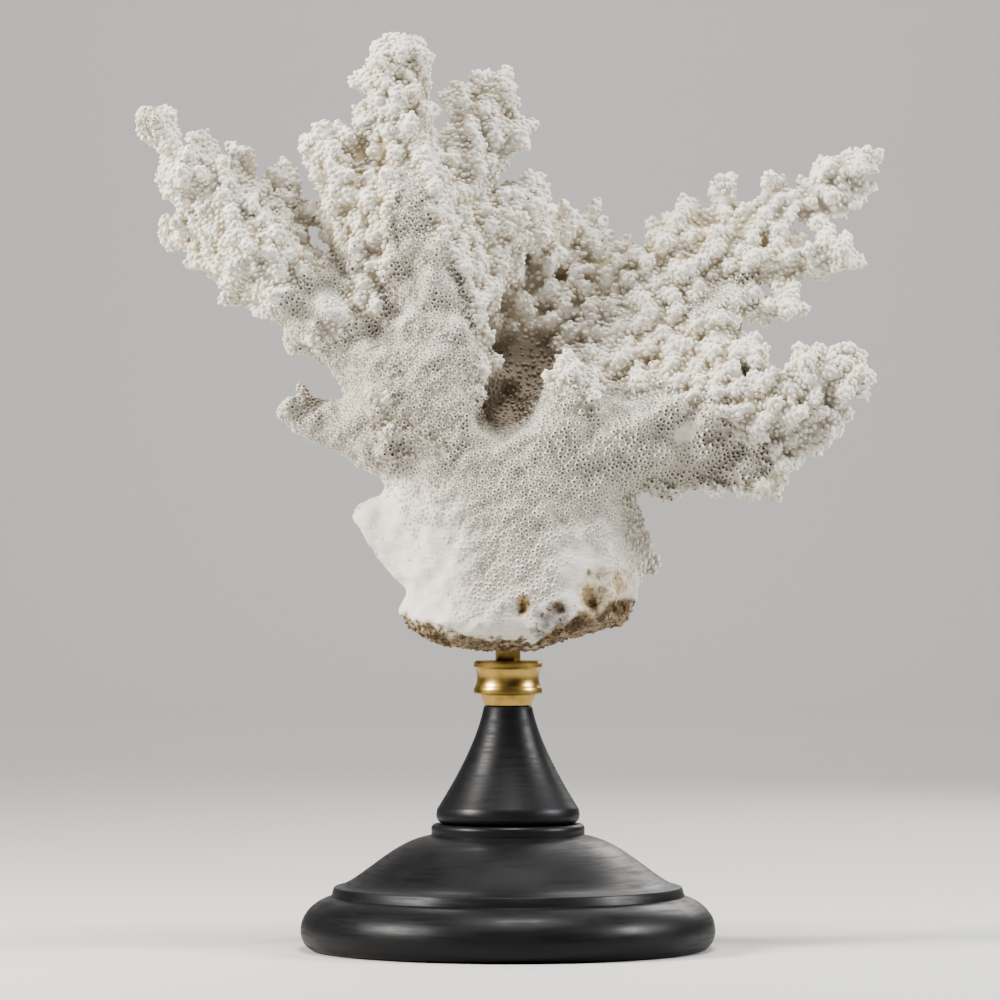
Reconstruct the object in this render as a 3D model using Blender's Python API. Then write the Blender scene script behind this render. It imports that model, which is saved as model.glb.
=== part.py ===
# A white branching coral mounted on a turned black stand, with a brass collar and rod between them.
# Metres, +Z up. The origin is the centre of the stand's underside. The coral spreads along X,
# its broad front looks along -Y, and it is split at its main forks.

import math
import random

import bmesh
import bpy
from mathutils import Matrix, Vector
from mathutils.geometry import interpolate_bezier

# Every piece keeps this distance to the piece that it touches.
GAP = 0.0003

# The stand, from the floor up.
FOOT_RADIUS = 0.0830
FOOT_FLAT_RADIUS = 0.0772
TORUS_ROUND = 0.0182
TORUS_MIDDLE = 0.0078
TORUS_TOP = 0.0220
STEP_RADIUS = 0.0704
STEP_TOP = 0.0250
OGEE_TOP = 0.0454
RING_RADIUS = 0.0307
FOOT_TOP = 0.0502
CONE_RADIUS = 0.0287
CONE_NECK_RADIUS = 0.0097
CONE_TOP = 0.0974
COLLAR_RADIUS = 0.0137
COLLAR_WAIST_RADIUS = 0.0125
COLLAR_NECK_RADIUS = 0.0108
COLLAR_TOP = 0.1153
ROD_RADIUS = 0.0050
ROD_BOTTOM = 0.0700
ROD_TOP = 0.1500
FOOT_SEGMENTS = 36
CONE_SEGMENTS = 26
COLLAR_SEGMENTS = 20
ROD_SEGMENTS = 12

# How the coral's body is made: stems joined in a skin and eased, then knobs joined to that, then facets.
# KEPT_SHARE is the share of the skin's faces that is left as facets.
VOXEL = 0.0021
EASE_PASSES = 12
KEPT_SHARE = 0.0640
STATION_STEP = 0.009
REGION_DEPTH = 0.090

# Knobs are the short side branches that cover the limbs. They grow out to a stem's outer radius,
# from a core that is thinner by their rise, and lean towards the tip.
PALM = (0.002, 0.000, 0.190)
KNOBS_FROM_PALM = 0.055
KNOB_SPACING = 0.0138
KNOB_RADIUS = 0.0046
KNOB_RISE_SHARE = 0.48
FULL_LIMB_RADIUS = 0.0115
KNOB_LEAN = 0.0038
KNOB_CLEARANCE = 0.0006

# The trunk's own form: level sections from the broken underside up to the palm.
# Each is (height, middle x, half width, middle y, half depth).
TRUNK_SECTIONS = (
    (0.1182, 0.0010, 0.0100, 0.000, 0.010),
    (0.1212, -0.0060, 0.0240, 0.000, 0.019),
    (0.1262, -0.0020, 0.0370, 0.001, 0.026),
    (0.1315, 0.0030, 0.0465, 0.002, 0.031),
    (0.1400, 0.0060, 0.0455, 0.002, 0.031),
    (0.1530, 0.0040, 0.0475, 0.002, 0.031),
    (0.1680, 0.0010, 0.0490, 0.002, 0.031),
    (0.1830, 0.0010, 0.0490, 0.002, 0.031),
    (0.1980, 0.0030, 0.0490, 0.003, 0.030),
    (0.2110, 0.0050, 0.0460, 0.005, 0.027),
    (0.2220, 0.0070, 0.0400, 0.009, 0.021),
)
TRUNK_SIDES = 28
TRUNK_RIBS = 9
TRUNK_RIB_DEPTH = 0.0011

# The hollow above the palm, scooped out of the front. Stations are (x, y, z, radius).
HOLLOW = (
    (-0.0020, -0.034, 0.2100, 0.0050),
    (0.0020, -0.025, 0.2250, 0.0120),
    (0.0060, -0.016, 0.2440, 0.0160),
    (0.0100, -0.008, 0.2660, 0.0160),
)

# The corners (x, z) that the lines of the main forks run between, seen from the front.
FORKS = {
    "finger below": (-0.0495, 0.1840),
    "finger above": (-0.0585, 0.2225),
    "arm above": (-0.0660, 0.2730),
    "crown left end": (-0.0665, 0.2825),
    "crown low": (-0.0460, 0.3020),
    "crown right": (-0.0270, 0.3020),
    "crown flank": (-0.0040, 0.2985),
    "palm notch": (-0.0080, 0.2080),
    "hollow left": (-0.0070, 0.2450),
    "hollow right": (0.0340, 0.2510),
    "between arms": (0.0460, 0.2220),
    "lower arm below": (0.0530, 0.1760),
}

# Each limb lies within the lines of its region, and is made of stems.
# Stations are (x, y, z, radius), and a radius is the outer one, over the knobs.
LIMBS = {
    "coral_trunk": {
        "region": (
            "finger below", "finger above", "palm notch", "hollow left", "hollow right", "between arms",
            "lower arm below", (0.080, 0.173), (0.080, 0.100), (-0.080, 0.100), (-0.080, 0.184),
        ),
        "stems": {
            "lower left shelf": (
                (-0.036, 0.002, 0.168, 0.0150),
                (-0.050, 0.001, 0.171, 0.0105),
                (-0.0565, 0.000, 0.1735, 0.0075),
            ),
            "shelf under lip": (
                (-0.040, 0.004, 0.158, 0.0120),
                (-0.049, 0.003, 0.162, 0.0070),
            ),
            "rim spur": (
                (-0.036, 0.000, 0.1330, 0.0070),
                (-0.0440, -0.002, 0.1355, 0.0030),
            ),
            "right upper shelf": (
                (0.036, 0.006, 0.172, 0.0120),
                (0.0480, 0.006, 0.1710, 0.0068),
            ),
            "right lower shelf": (
                (0.038, 0.008, 0.154, 0.0110),
                (0.0520, 0.008, 0.1535, 0.0062),
            ),
            "to the finger": (
                (-0.022, -0.002, 0.198, 0.0200),
                (-0.046, -0.004, 0.2030, 0.0155),
                (-0.058, -0.005, 0.2065, 0.0125),
            ),
            "to the left": (
                (-0.016, -0.004, 0.200, 0.0240),
                (-0.036, -0.006, 0.2200, 0.0230),
                (-0.048, -0.007, 0.2310, 0.0200),
            ),
            "to the centre": (
                (-0.010, -0.002, 0.196, 0.0270),
                (-0.026, -0.006, 0.2260, 0.0240),
                (-0.030, -0.007, 0.2400, 0.0220),
            ),
            "back web left": (
                (-0.006, 0.018, 0.205, 0.0200),
                (0.004, 0.026, 0.232, 0.0160),
                (0.008, 0.028, 0.250, 0.0150),
            ),
            "back web right": (
                (0.012, 0.018, 0.205, 0.0200),
                (0.028, 0.024, 0.228, 0.0160),
                (0.034, 0.026, 0.242, 0.0140),
            ),
            "to the upper arm": (
                (0.026, 0.012, 0.206, 0.0210),
                (0.042, 0.013, 0.2300, 0.0175),
            ),
            "to the lower arm": (
                (0.022, -0.004, 0.196, 0.0230),
                (0.048, -0.006, 0.2040, 0.0215),
            ),
            "lip of the hollow": (
                (0.022, -0.012, 0.206, 0.0170),
                (0.025, -0.016, 0.220, 0.0120),
                (0.024, -0.016, 0.230, 0.0080),
            ),
        },
    },
    "coral_left_finger": {
        "region": (
            "finger above", "finger below", (-0.130, 0.180), (-0.130, 0.242), (-0.080, 0.2300), (-0.066, 0.2255),
        ),
        "stems": {
            "main": (
                (-0.050, -0.004, 0.2045, 0.0145),
                (-0.068, -0.006, 0.2100, 0.0120),
                (-0.081, -0.008, 0.2145, 0.0090),
                (-0.088, -0.009, 0.2160, 0.0056),
            ),
        },
    },
    "coral_left_arm": {
        "region": (
            "finger above", (-0.066, 0.2255), (-0.080, 0.2300), (-0.130, 0.242), (-0.190, 0.242), (-0.190, 0.380),
            (-0.100, 0.380), (-0.086, 0.3220), (-0.0818, 0.3120), (-0.0813, 0.2960), (-0.0765, 0.2865),
            "arm above",
        ),
        "stems": {
            "core": (
                (-0.050, -0.006, 0.2325, 0.0215),
                (-0.078, -0.009, 0.2570, 0.0195),
                (-0.100, -0.012, 0.2780, 0.0160),
            ),
            "outer finger": (
                (-0.084, -0.010, 0.2640, 0.0170),
                (-0.108, -0.014, 0.2900, 0.0145),
                (-0.126, -0.018, 0.3110, 0.0110),
                (-0.137, -0.021, 0.3245, 0.0072),
                (-0.1436, -0.023, 0.3328, 0.0056),
            ),
            "tip nub": (
                (-0.131, -0.019, 0.3190, 0.0060),
                (-0.1335, -0.018, 0.3320, 0.0036),
            ),
            "shoulder": (
                (-0.108, -0.010, 0.2920, 0.0120),
                (-0.118, -0.008, 0.3130, 0.0080),
                (-0.122, -0.007, 0.3220, 0.0050),
            ),
            "lower corner": (
                (-0.084, -0.004, 0.2590, 0.0150),
                (-0.110, 0.000, 0.2720, 0.0125),
                (-0.127, 0.003, 0.2830, 0.0095),
                (-0.1355, 0.004, 0.2845, 0.0058),
            ),
            "edge finger": (
                (-0.112, -0.004, 0.2840, 0.0130),
                (-0.1280, -0.006, 0.2980, 0.0105),
                (-0.1330, -0.008, 0.3080, 0.0070),
            ),
            "lower edge": (
                (-0.070, -0.004, 0.2420, 0.0120),
                (-0.094, -0.002, 0.2585, 0.0105),
                (-0.108, 0.000, 0.2655, 0.0070),
            ),
            "inner side": (
                (-0.070, -0.004, 0.2540, 0.0160),
                (-0.084, 0.000, 0.2740, 0.0140),
                (-0.093, 0.003, 0.2900, 0.0130),
            ),
            "inner finger": (
                (-0.080, 0.000, 0.2640, 0.0140),
                (-0.0900, 0.006, 0.2840, 0.0115),
                (-0.0915, 0.009, 0.3000, 0.0098),
                (-0.0895, 0.011, 0.3075, 0.0070),
            ),
            "middle finger": (
                (-0.092, -0.004, 0.2720, 0.0135),
                (-0.103, 0.002, 0.2970, 0.0115),
                (-0.107, 0.004, 0.3130, 0.0070),
            ),
        },
    },
    "coral_centre_limb": {
        "region": (
            "palm notch", "finger above", "arm above", (-0.0765, 0.2865), "crown left end", "crown low",
            "crown right", "crown flank", (0.0035, 0.3135), (0.0250, 0.3160), (0.0175, 0.3030), (0.0158, 0.2920),
            (0.0010, 0.2620), "hollow left",
        ),
        "stems": {
            "spine": (
                (-0.022, -0.004, 0.2300, 0.0240),
                (-0.030, -0.008, 0.2560, 0.0225),
                (-0.035, -0.009, 0.2780, 0.0205),
                (-0.039, -0.009, 0.2960, 0.0180),
            ),
            "left side": (
                (-0.036, -0.006, 0.2400, 0.0190),
                (-0.048, -0.006, 0.2640, 0.0170),
                (-0.057, -0.004, 0.2800, 0.0150),
            ),
            "right flank": (
                (-0.022, 0.000, 0.2600, 0.0175),
                (-0.010, 0.006, 0.2810, 0.0165),
                (0.001, 0.011, 0.2950, 0.0135),
                (0.0070, 0.013, 0.3020, 0.0085),
            ),
            "lower flank": (
                (-0.018, 0.002, 0.2560, 0.0135),
                (-0.004, 0.008, 0.2720, 0.0125),
                (0.0070, 0.010, 0.2890, 0.0090),
            ),
        },
    },
    "coral_crown_left": {
        "region": (
            "crown low", "crown left end", (-0.0765, 0.2865), (-0.0813, 0.2960), (-0.0818, 0.3120),
            (-0.086, 0.3220), (-0.100, 0.380), (-0.072, 0.336), (-0.0595, 0.3290), (-0.0590, 0.3220),
        ),
        "stems": {
            "main": (
                (-0.048, -0.004, 0.2800, 0.0165),
                (-0.060, -0.005, 0.2930, 0.0165),
                (-0.067, -0.007, 0.3040, 0.0145),
                (-0.071, -0.008, 0.3130, 0.0115),
                (-0.0735, -0.009, 0.3185, 0.0085),
            ),
            "upper nub": (
                (-0.064, -0.005, 0.3060, 0.0110),
                (-0.0675, -0.004, 0.3205, 0.0072),
            ),
            "inner side": (
                (-0.054, -0.002, 0.3000, 0.0130),
                (-0.0585, -0.001, 0.3120, 0.0105),
                (-0.0635, -0.002, 0.3200, 0.0070),
            ),
            "low corner": (
                (-0.062, -0.004, 0.2900, 0.0120),
                (-0.0695, -0.003, 0.2930, 0.0090),
            ),
        },
    },
    "coral_crown_top": {
        "region": (
            "crown low", (-0.0590, 0.3220), (-0.0595, 0.3290), (-0.072, 0.336), (-0.100, 0.380), (-0.020, 0.390),
            (-0.0260, 0.3520), (-0.0278, 0.3450), (-0.0295, 0.3300), "crown right",
        ),
        "stems": {
            "main": (
                (-0.038, -0.008, 0.2900, 0.0175),
                (-0.042, -0.006, 0.3120, 0.0150),
                (-0.0445, -0.005, 0.3300, 0.0130),
                (-0.0445, -0.004, 0.3450, 0.0118),
                (-0.0440, -0.004, 0.3545, 0.0098),
                (-0.0435, -0.004, 0.3590, 0.0078),
            ),
            "left nub": (
                (-0.048, -0.005, 0.3380, 0.0100),
                (-0.0525, -0.006, 0.3470, 0.0070),
            ),
            "left tip": (
                (-0.046, -0.004, 0.3480, 0.0100),
                (-0.0495, -0.005, 0.3570, 0.0075),
            ),
            "right tip": (
                (-0.041, -0.003, 0.3480, 0.0100),
                (-0.0370, -0.002, 0.3565, 0.0072),
            ),
            "left side": (
                (-0.048, -0.004, 0.3040, 0.0130),
                (-0.0515, -0.003, 0.3200, 0.0100),
                (-0.0535, -0.003, 0.3320, 0.0075),
            ),
            "right nub": (
                (-0.040, -0.004, 0.3420, 0.0095),
                (-0.0355, -0.003, 0.3535, 0.0062),
            ),
            "right side": (
                (-0.036, -0.002, 0.3080, 0.0140),
                (-0.0370, 0.001, 0.3230, 0.0120),
                (-0.0365, 0.001, 0.3350, 0.0085),
            ),
        },
    },
    "coral_crown_right": {
        "region": (
            "crown right", (-0.0295, 0.3300), (-0.0278, 0.3450), (-0.0260, 0.3520), (-0.020, 0.390),
            (0.040, 0.390), (0.040, 0.316), (0.0250, 0.3160), (0.0035, 0.3135), "crown flank",
        ),
        "stems": {
            "main": (
                (-0.020, 0.002, 0.2850, 0.0160),
                (-0.016, 0.008, 0.3020, 0.0145),
                (-0.012, 0.013, 0.3180, 0.0130),
                (-0.0065, 0.016, 0.3340, 0.0110),
                (-0.0050, 0.017, 0.3425, 0.0094),
            ),
            "left side": (
                (-0.021, 0.006, 0.3020, 0.0150),
                (-0.0200, 0.009, 0.3180, 0.0130),
                (-0.0195, 0.011, 0.3320, 0.0095),
                (-0.0200, 0.012, 0.3420, 0.0062),
            ),
            "side finger": (
                (-0.011, 0.012, 0.3130, 0.0115),
                (-0.0020, 0.013, 0.3225, 0.0095),
                (0.0040, 0.013, 0.3270, 0.0066),
            ),
        },
    },
    "coral_back_limb": {
        "region": (
            "hollow right", "hollow left", (0.0010, 0.2620), (0.0158, 0.2920), (0.0175, 0.3030), (0.0200, 0.3140),
            (0.0500, 0.3140), (0.0530, 0.2750), (0.0470, 0.2640),
        ),
        "stems": {
            "main": (
                (0.010, 0.026, 0.2400, 0.0160),
                (0.018, 0.030, 0.2560, 0.0170),
                (0.024, 0.033, 0.2700, 0.0150),
                (0.0275, 0.034, 0.2830, 0.0115),
                (0.0280, 0.034, 0.2880, 0.0095),
            ),
            "left web": (
                (0.002, 0.024, 0.2480, 0.0180),
                (0.010, 0.026, 0.2660, 0.0160),
                (0.0190, 0.029, 0.2820, 0.0110),
            ),
            "right tuft": (
                (0.026, 0.032, 0.2680, 0.0120),
                (0.0335, 0.032, 0.2840, 0.0080),
            ),
            "outer tuft": (
                (0.028, 0.026, 0.2520, 0.0160),
                (0.0380, 0.024, 0.2640, 0.0130),
                (0.0440, 0.023, 0.2760, 0.0085),
            ),
        },
    },
    "coral_right_upper_arm": {
        "region": (
            "between arms", "hollow right", (0.0470, 0.2640), (0.0530, 0.2750), (0.0500, 0.3140),
            (0.200, 0.380), (0.200, 0.248), (0.106, 0.2475), (0.0970, 0.2475), (0.0935, 0.2438), (0.0880, 0.2430),
        ),
        "stems": {
            "core": (
                (0.046, 0.013, 0.2375, 0.0200),
                (0.066, 0.016, 0.2590, 0.0180),
                (0.088, 0.019, 0.2790, 0.0150),
                (0.108, 0.020, 0.2940, 0.0125),
                (0.127, 0.020, 0.3065, 0.0100),
                (0.138, 0.019, 0.3135, 0.0080),
                (0.1430, 0.018, 0.3155, 0.0066),
            ),
            "root comb": (
                (0.044, 0.016, 0.2440, 0.0170),
                (0.0530, 0.018, 0.2600, 0.0135),
                (0.0580, 0.018, 0.2700, 0.0095),
            ),
            "first comb": (
                (0.058, 0.016, 0.2560, 0.0140),
                (0.0620, 0.018, 0.2740, 0.0105),
                (0.0620, 0.018, 0.2850, 0.0068),
            ),
            "second comb": (
                (0.068, 0.018, 0.2680, 0.0130),
                (0.0715, 0.020, 0.2890, 0.0085),
                (0.0715, 0.021, 0.2985, 0.0054),
            ),
            "third comb": (
                (0.082, 0.020, 0.2800, 0.0125),
                (0.0870, 0.022, 0.2990, 0.0085),
                (0.0880, 0.022, 0.3080, 0.0054),
            ),
            "fourth comb": (
                (0.098, 0.021, 0.2920, 0.0110),
                (0.1075, 0.021, 0.3075, 0.0050),
            ),
            "fifth comb": (
                (0.120, 0.020, 0.3040, 0.0090),
                (0.1310, 0.020, 0.3165, 0.0046),
            ),
            "middle finger": (
                (0.086, 0.014, 0.2680, 0.0125),
                (0.107, 0.010, 0.2730, 0.0105),
                (0.124, 0.008, 0.2775, 0.0092),
                (0.1330, 0.007, 0.2785, 0.0078),
            ),
            "under finger": (
                (0.074, 0.010, 0.2570, 0.0140),
                (0.094, 0.006, 0.2570, 0.0100),
                (0.108, 0.004, 0.2580, 0.0070),
                (0.1140, 0.004, 0.2585, 0.0050),
            ),
            "under side": (
                (0.062, 0.006, 0.2400, 0.0160),
                (0.0770, 0.006, 0.2490, 0.0130),
                (0.0870, 0.005, 0.2510, 0.0085),
            ),
        },
    },
    "coral_right_lower_arm": {
        "region": (
            "lower arm below", "between arms", (0.0880, 0.2430), (0.0935, 0.2438), (0.0970, 0.2475),
            (0.106, 0.2475), (0.200, 0.248), (0.200, 0.173), (0.080, 0.173),
        ),
        "stems": {
            "core": (
                (0.050, -0.007, 0.2065, 0.0230),
                (0.078, -0.010, 0.2110, 0.0200),
                (0.100, -0.014, 0.2170, 0.0165),
                (0.119, -0.017, 0.2235, 0.0130),
                (0.131, -0.018, 0.2270, 0.0100),
                (0.1358, -0.018, 0.2275, 0.0082),
            ),
            "belly": (
                (0.050, -0.004, 0.1950, 0.0165),
                (0.078, -0.006, 0.1940, 0.0150),
                (0.096, -0.008, 0.1930, 0.0115),
            ),
            "top finger": (
                (0.076, -0.006, 0.2220, 0.0140),
                (0.0900, -0.006, 0.2330, 0.0100),
                (0.0960, -0.006, 0.2385, 0.0070),
            ),
            "top fan": (
                (0.058, -0.004, 0.2200, 0.0170),
                (0.0710, -0.002, 0.2290, 0.0140),
                (0.0820, -0.002, 0.2350, 0.0095),
            ),
            "end comb": (
                (0.110, -0.014, 0.2230, 0.0110),
                (0.1200, -0.014, 0.2350, 0.0062),
            ),
            "end comb tip": (
                (0.118, -0.016, 0.2260, 0.0100),
                (0.1285, -0.016, 0.2375, 0.0052),
            ),
            "low finger": (
                (0.100, -0.012, 0.2080, 0.0120),
                (0.118, -0.014, 0.2065, 0.0085),
                (0.1270, -0.014, 0.2065, 0.0060),
            ),
            "low nub": (
                (0.098, -0.010, 0.1990, 0.0110),
                (0.1130, -0.011, 0.1975, 0.0060),
            ),
            "bottom finger": (
                (0.088, -0.008, 0.1900, 0.0110),
                (0.1015, -0.009, 0.1850, 0.0070),
                (0.1075, -0.009, 0.1860, 0.0050),
            ),
        },
    },
}

# Colours are linear, from the photographed finish.
CORAL_FINISH = ((0.79, 0.74, 0.65), 0.85, 0.0)
WOOD_FINISH = ((0.012, 0.012, 0.013), 0.38, 0.0)
BRASS_FINISH = ((0.62, 0.42, 0.16), 0.30, 1.0)


def clear_scene():
    for obj in list(bpy.data.objects):
        bpy.data.objects.remove(obj, do_unlink=True)


def finish(name, look):
    """A Principled material from (colour, roughness, metallic)."""
    colour, roughness, metallic = look
    made = bpy.data.materials.new(name)
    made.use_nodes = True
    shader = made.node_tree.nodes["Principled BSDF"]
    shader.inputs["Base Color"].default_value = (*colour, 1.0)
    shader.inputs["Roughness"].default_value = roughness
    shader.inputs["Metallic"].default_value = metallic
    return made


def add_object(name, bm, material):
    bmesh.ops.recalc_face_normals(bm, faces=bm.faces)
    mesh = bpy.data.meshes.new(name)
    bm.to_mesh(mesh)
    bm.free()
    mesh.materials.append(material)
    obj = bpy.data.objects.new(name, mesh)
    bpy.context.scene.collection.objects.link(obj)
    return obj


def curve(start, start_handle, end_handle, end, steps):
    """Points (radius, height) along a Bezier curve, both ends included."""
    corners = [Vector((r, 0, z)) for r, z in (start, start_handle, end_handle, end)]
    return [(p.x, p.z) for p in interpolate_bezier(*corners, steps)]


def arc(middle, radii, start, end, steps):
    """Points (radius, height) along an ellipse from one angle to another, in degrees."""
    angles = [math.radians(start + (end - start) * i / (steps - 1)) for i in range(steps)]
    return [(middle[0] + radii[0] * math.cos(a), middle[1] + radii[1] * math.sin(a)) for a in angles]


def turned(name, profile, segments, material, ring=False):
    """A turned piece: the profile (radius, height) spun about Z. A ring's profile is a closed loop."""
    bm = bmesh.new()
    points = [bm.verts.new((r, 0, z)) for r, z in profile]
    pairs = list(zip(points, points[1:] + points[:1])) if ring else list(zip(points, points[1:]))
    edges = [bm.edges.new(pair) for pair in pairs]
    bmesh.ops.spin(
        bm, geom=points + edges, cent=(0, 0, 0), axis=(0, 0, 1), angle=2 * math.pi,
        steps=segments, use_merge=True,
    )
    bmesh.ops.remove_doubles(bm, verts=bm.verts, dist=1e-6)
    obj = add_object(name, bm, material)
    obj.data.shade_smooth()
    obj.data.set_sharp_from_angle(angle=math.radians(35))
    return obj


def make_foot(material):
    """The wide foot: a torus, a small step, an ogee and the ring that the cone stands on."""
    edge = FOOT_RADIUS - FOOT_FLAT_RADIUS
    profile = [(0.0, 0.0)]
    profile += arc((FOOT_FLAT_RADIUS, TORUS_MIDDLE), (edge, TORUS_MIDDLE), -90, -15, 4)
    profile += arc(
        (FOOT_RADIUS - TORUS_ROUND, TORUS_MIDDLE), (TORUS_ROUND, TORUS_TOP - TORUS_MIDDLE), 0, 70, 6,
    )
    profile += [(STEP_RADIUS, TORUS_TOP), (STEP_RADIUS - 0.0010, STEP_TOP)]
    profile += curve(
        (STEP_RADIUS - 0.0022, STEP_TOP + 0.0004), (0.0600, 0.0266),
        (0.0465, 0.0432), (RING_RADIUS + 0.0010, OGEE_TOP), 8,
    )
    profile += [(RING_RADIUS, OGEE_TOP + 0.0005), (RING_RADIUS - 0.0012, FOOT_TOP - 0.0006)]
    profile += [(RING_RADIUS - 0.0020, FOOT_TOP), (0.0, FOOT_TOP)]
    return turned("stand_foot", profile, FOOT_SEGMENTS, material)


def make_cone(material):
    """The flared column, with a blind bore for the rod."""
    bottom = FOOT_TOP + GAP
    bore = ROD_RADIUS + GAP
    profile = [(0.0, bottom), (CONE_RADIUS - 0.0024, bottom)]
    profile += arc((CONE_RADIUS - 0.0022, bottom + 0.0034), (0.0022, 0.0030), -60, 20, 3)
    profile += curve(
        (CONE_RADIUS - 0.0004, bottom + 0.0062), (0.0214, 0.0672),
        (0.0124, 0.0830), (CONE_NECK_RADIUS, CONE_TOP - 0.0004), 8,
    )
    profile += [(CONE_NECK_RADIUS - 0.0004, CONE_TOP), (bore, CONE_TOP)]
    profile += [(bore, ROD_BOTTOM - GAP), (0.0, ROD_BOTTOM - GAP)]
    return turned("stand_cone", profile, CONE_SEGMENTS, material)


def make_collar(material):
    """The brass collar: a neck, a lower lip, a hollow waist and an upper lip, bored for the rod."""
    bottom = CONE_TOP + GAP
    bore = ROD_RADIUS + GAP
    lip = COLLAR_RADIUS
    profile = [(bore, bottom), (COLLAR_NECK_RADIUS - 0.0011, bottom)]
    profile += [(COLLAR_NECK_RADIUS - 0.0007, bottom + 0.0012), (COLLAR_NECK_RADIUS, bottom + 0.0040)]
    profile += [(lip - 0.0004, bottom + 0.0043), (lip, bottom + 0.0049), (lip, bottom + 0.0063)]
    profile += curve(
        (lip - 0.0003, bottom + 0.0070), (COLLAR_WAIST_RADIUS - 0.0004, bottom + 0.0090),
        (COLLAR_WAIST_RADIUS - 0.0004, bottom + 0.0126), (lip - 0.0004, bottom + 0.0147), 6,
    )
    profile += [(lip, bottom + 0.0152), (lip, COLLAR_TOP - 0.0009), (lip - 0.0006, COLLAR_TOP)]
    profile += [(bore, COLLAR_TOP)]
    return turned("brass_collar", profile, COLLAR_SEGMENTS, material, ring=True)


def make_rod(material):
    chamfer = 0.0004
    profile = [(0.0, ROD_BOTTOM), (ROD_RADIUS - chamfer, ROD_BOTTOM), (ROD_RADIUS, ROD_BOTTOM + chamfer)]
    profile += [(ROD_RADIUS, ROD_TOP - chamfer), (ROD_RADIUS - chamfer, ROD_TOP), (0.0, ROD_TOP)]
    return turned("brass_rod", profile, ROD_SEGMENTS, material)


def ball_points(middle, radius):
    """The corners of an icosphere, which hulls of stems are drawn round."""
    ball = bmesh.new()
    bmesh.ops.create_icosphere(ball, subdivisions=2, radius=radius, matrix=Matrix.Translation(middle))
    corners = [v.co.copy() for v in ball.verts]
    ball.free()
    return corners


def add_hull(bm, corners):
    verts = [bm.verts.new(c) for c in corners]
    made = bmesh.ops.convex_hull(bm, input=verts)
    inner = {g for g in made["geom_interior"] + made["geom_unused"] if isinstance(g, bmesh.types.BMVert)}
    bmesh.ops.delete(bm, geom=list(inner), context="VERTS")


def smooth_path(stations):
    """Catmull-Rom points (place, radius) through the stations, about STATION_STEP apart."""
    rows = [Vector(s) for s in stations]
    rows = [2 * rows[0] - rows[1], *rows, 2 * rows[-1] - rows[-2]]
    path = []
    for a, b, c, d in zip(rows, rows[1:], rows[2:], rows[3:]):
        steps = max(1, round((c - b).to_3d().length / STATION_STEP))
        for i in range(steps):
            t = i / steps
            path.append(
                0.5 * (2 * b + (c - a) * t + (2 * a - 5 * b + 4 * c - d) * t**2
                       + (3 * b - a - 3 * c + d) * t**3)
            )
    path.append(rows[-2])
    return [(row.to_3d(), row.w) for row in path]


def knob_rise(radius):
    """How far knobs stand out of the core of a stem with this outer radius."""
    return KNOB_RISE_SHARE * min(radius, FULL_LIMB_RADIUS)


def add_stem(bm, stations, has_knobs=False):
    """A tapering stem with round ends through the stations, thinner where knobs will cover it."""
    path = smooth_path(stations)
    if has_knobs:
        path = [(p, r - knob_rise(r)) for p, r in path[:-1]] + path[-1:]
    for (start, start_radius), (end, end_radius) in zip(path, path[1:]):
        add_hull(bm, ball_points(start, start_radius) + ball_points(end, end_radius))


def covering_stem(point, paths):
    """The axis point, direction and outer radius of the stem that reaches furthest over a point."""
    best = (1.0, None)
    for path in paths:
        for (start, start_radius), (end, end_radius) in zip(path, path[1:]):
            along = end - start
            t = min(1.0, max(0.0, (point - start).dot(along) / max(along.length_squared, 1e-12)))
            middle = start + along * t
            radius = start_radius + (end_radius - start_radius) * t
            outside = (point - middle).length - radius
            if outside < best[0]:
                best = (outside, (middle, along.normalized(), radius))
    return best[1]


def in_region(point, corners, margin):
    """Whether a point, seen from the front, is inside a region and this far from its lines."""
    x, z = point.x, point.z
    odd = False
    for (ax, az), (bx, bz) in zip(corners, corners[1:] + corners[:1]):
        side = Vector((bx - ax, bz - az))
        t = min(1.0, max(0.0, Vector((x - ax, z - az)).dot(side) / side.length_squared))
        if math.hypot(x - ax - side.x * t, z - az - side.y * t) < margin:
            return False
        if (az > z) != (bz > z) and x < ax + (z - az) / (bz - az) * (bx - ax):
            odd = not odd
    return odd


def add_knobs(bm, core, rng):
    """Knobs spread evenly over the core, each within its own limb's region and as large as the limb allows."""
    regions = {name: region_corners(limb) for name, limb in LIMBS.items() if name != "coral_trunk"}
    paths = {name: [smooth_path(s) for s in LIMBS[name]["stems"].values()] for name in regions}
    verts = list(core.vertices)
    rng.shuffle(verts)
    taken = []
    grid = {}
    for vert in verts:
        if (vert.co - Vector(PALM)).length < KNOBS_FROM_PALM:
            continue
        name = next((n for n, corners in regions.items() if in_region(vert.co, corners, 0.0)), None)
        if name is None:
            continue
        cell = tuple(int(c // KNOB_SPACING) for c in vert.co)
        around = [
            p for dx in (-1, 0, 1) for dy in (-1, 0, 1) for dz in (-1, 0, 1)
            for p in grid.get((cell[0] + dx, cell[1] + dy, cell[2] + dz), ())
        ]
        if any((vert.co - p).length < s for p, s in around):
            continue
        middle, axis, limb_radius = covering_stem(vert.co, paths[name])
        share = min(1.0, limb_radius / FULL_LIMB_RADIUS)
        radius = KNOB_RADIUS * (0.45 + 0.55 * share)
        outward = (vert.co - middle).normalized()
        if outward.dot(vert.normal) < 0.3:
            continue
        tip = middle + outward * (limb_radius * rng.uniform(0.94, 1.04) - radius) + axis * KNOB_LEAN * share
        grid.setdefault(cell, []).append((vert.co.copy(), KNOB_SPACING * (0.55 + 0.45 * share)))
        if in_region(tip, regions[name], radius + KNOB_CLEARANCE):
            taken.append((vert.co - vert.normal * 0.5 * radius, tip, radius))
    for foot, tip, radius in taken:
        add_hull(bm, ball_points(foot, radius) + ball_points(tip, radius))


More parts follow.
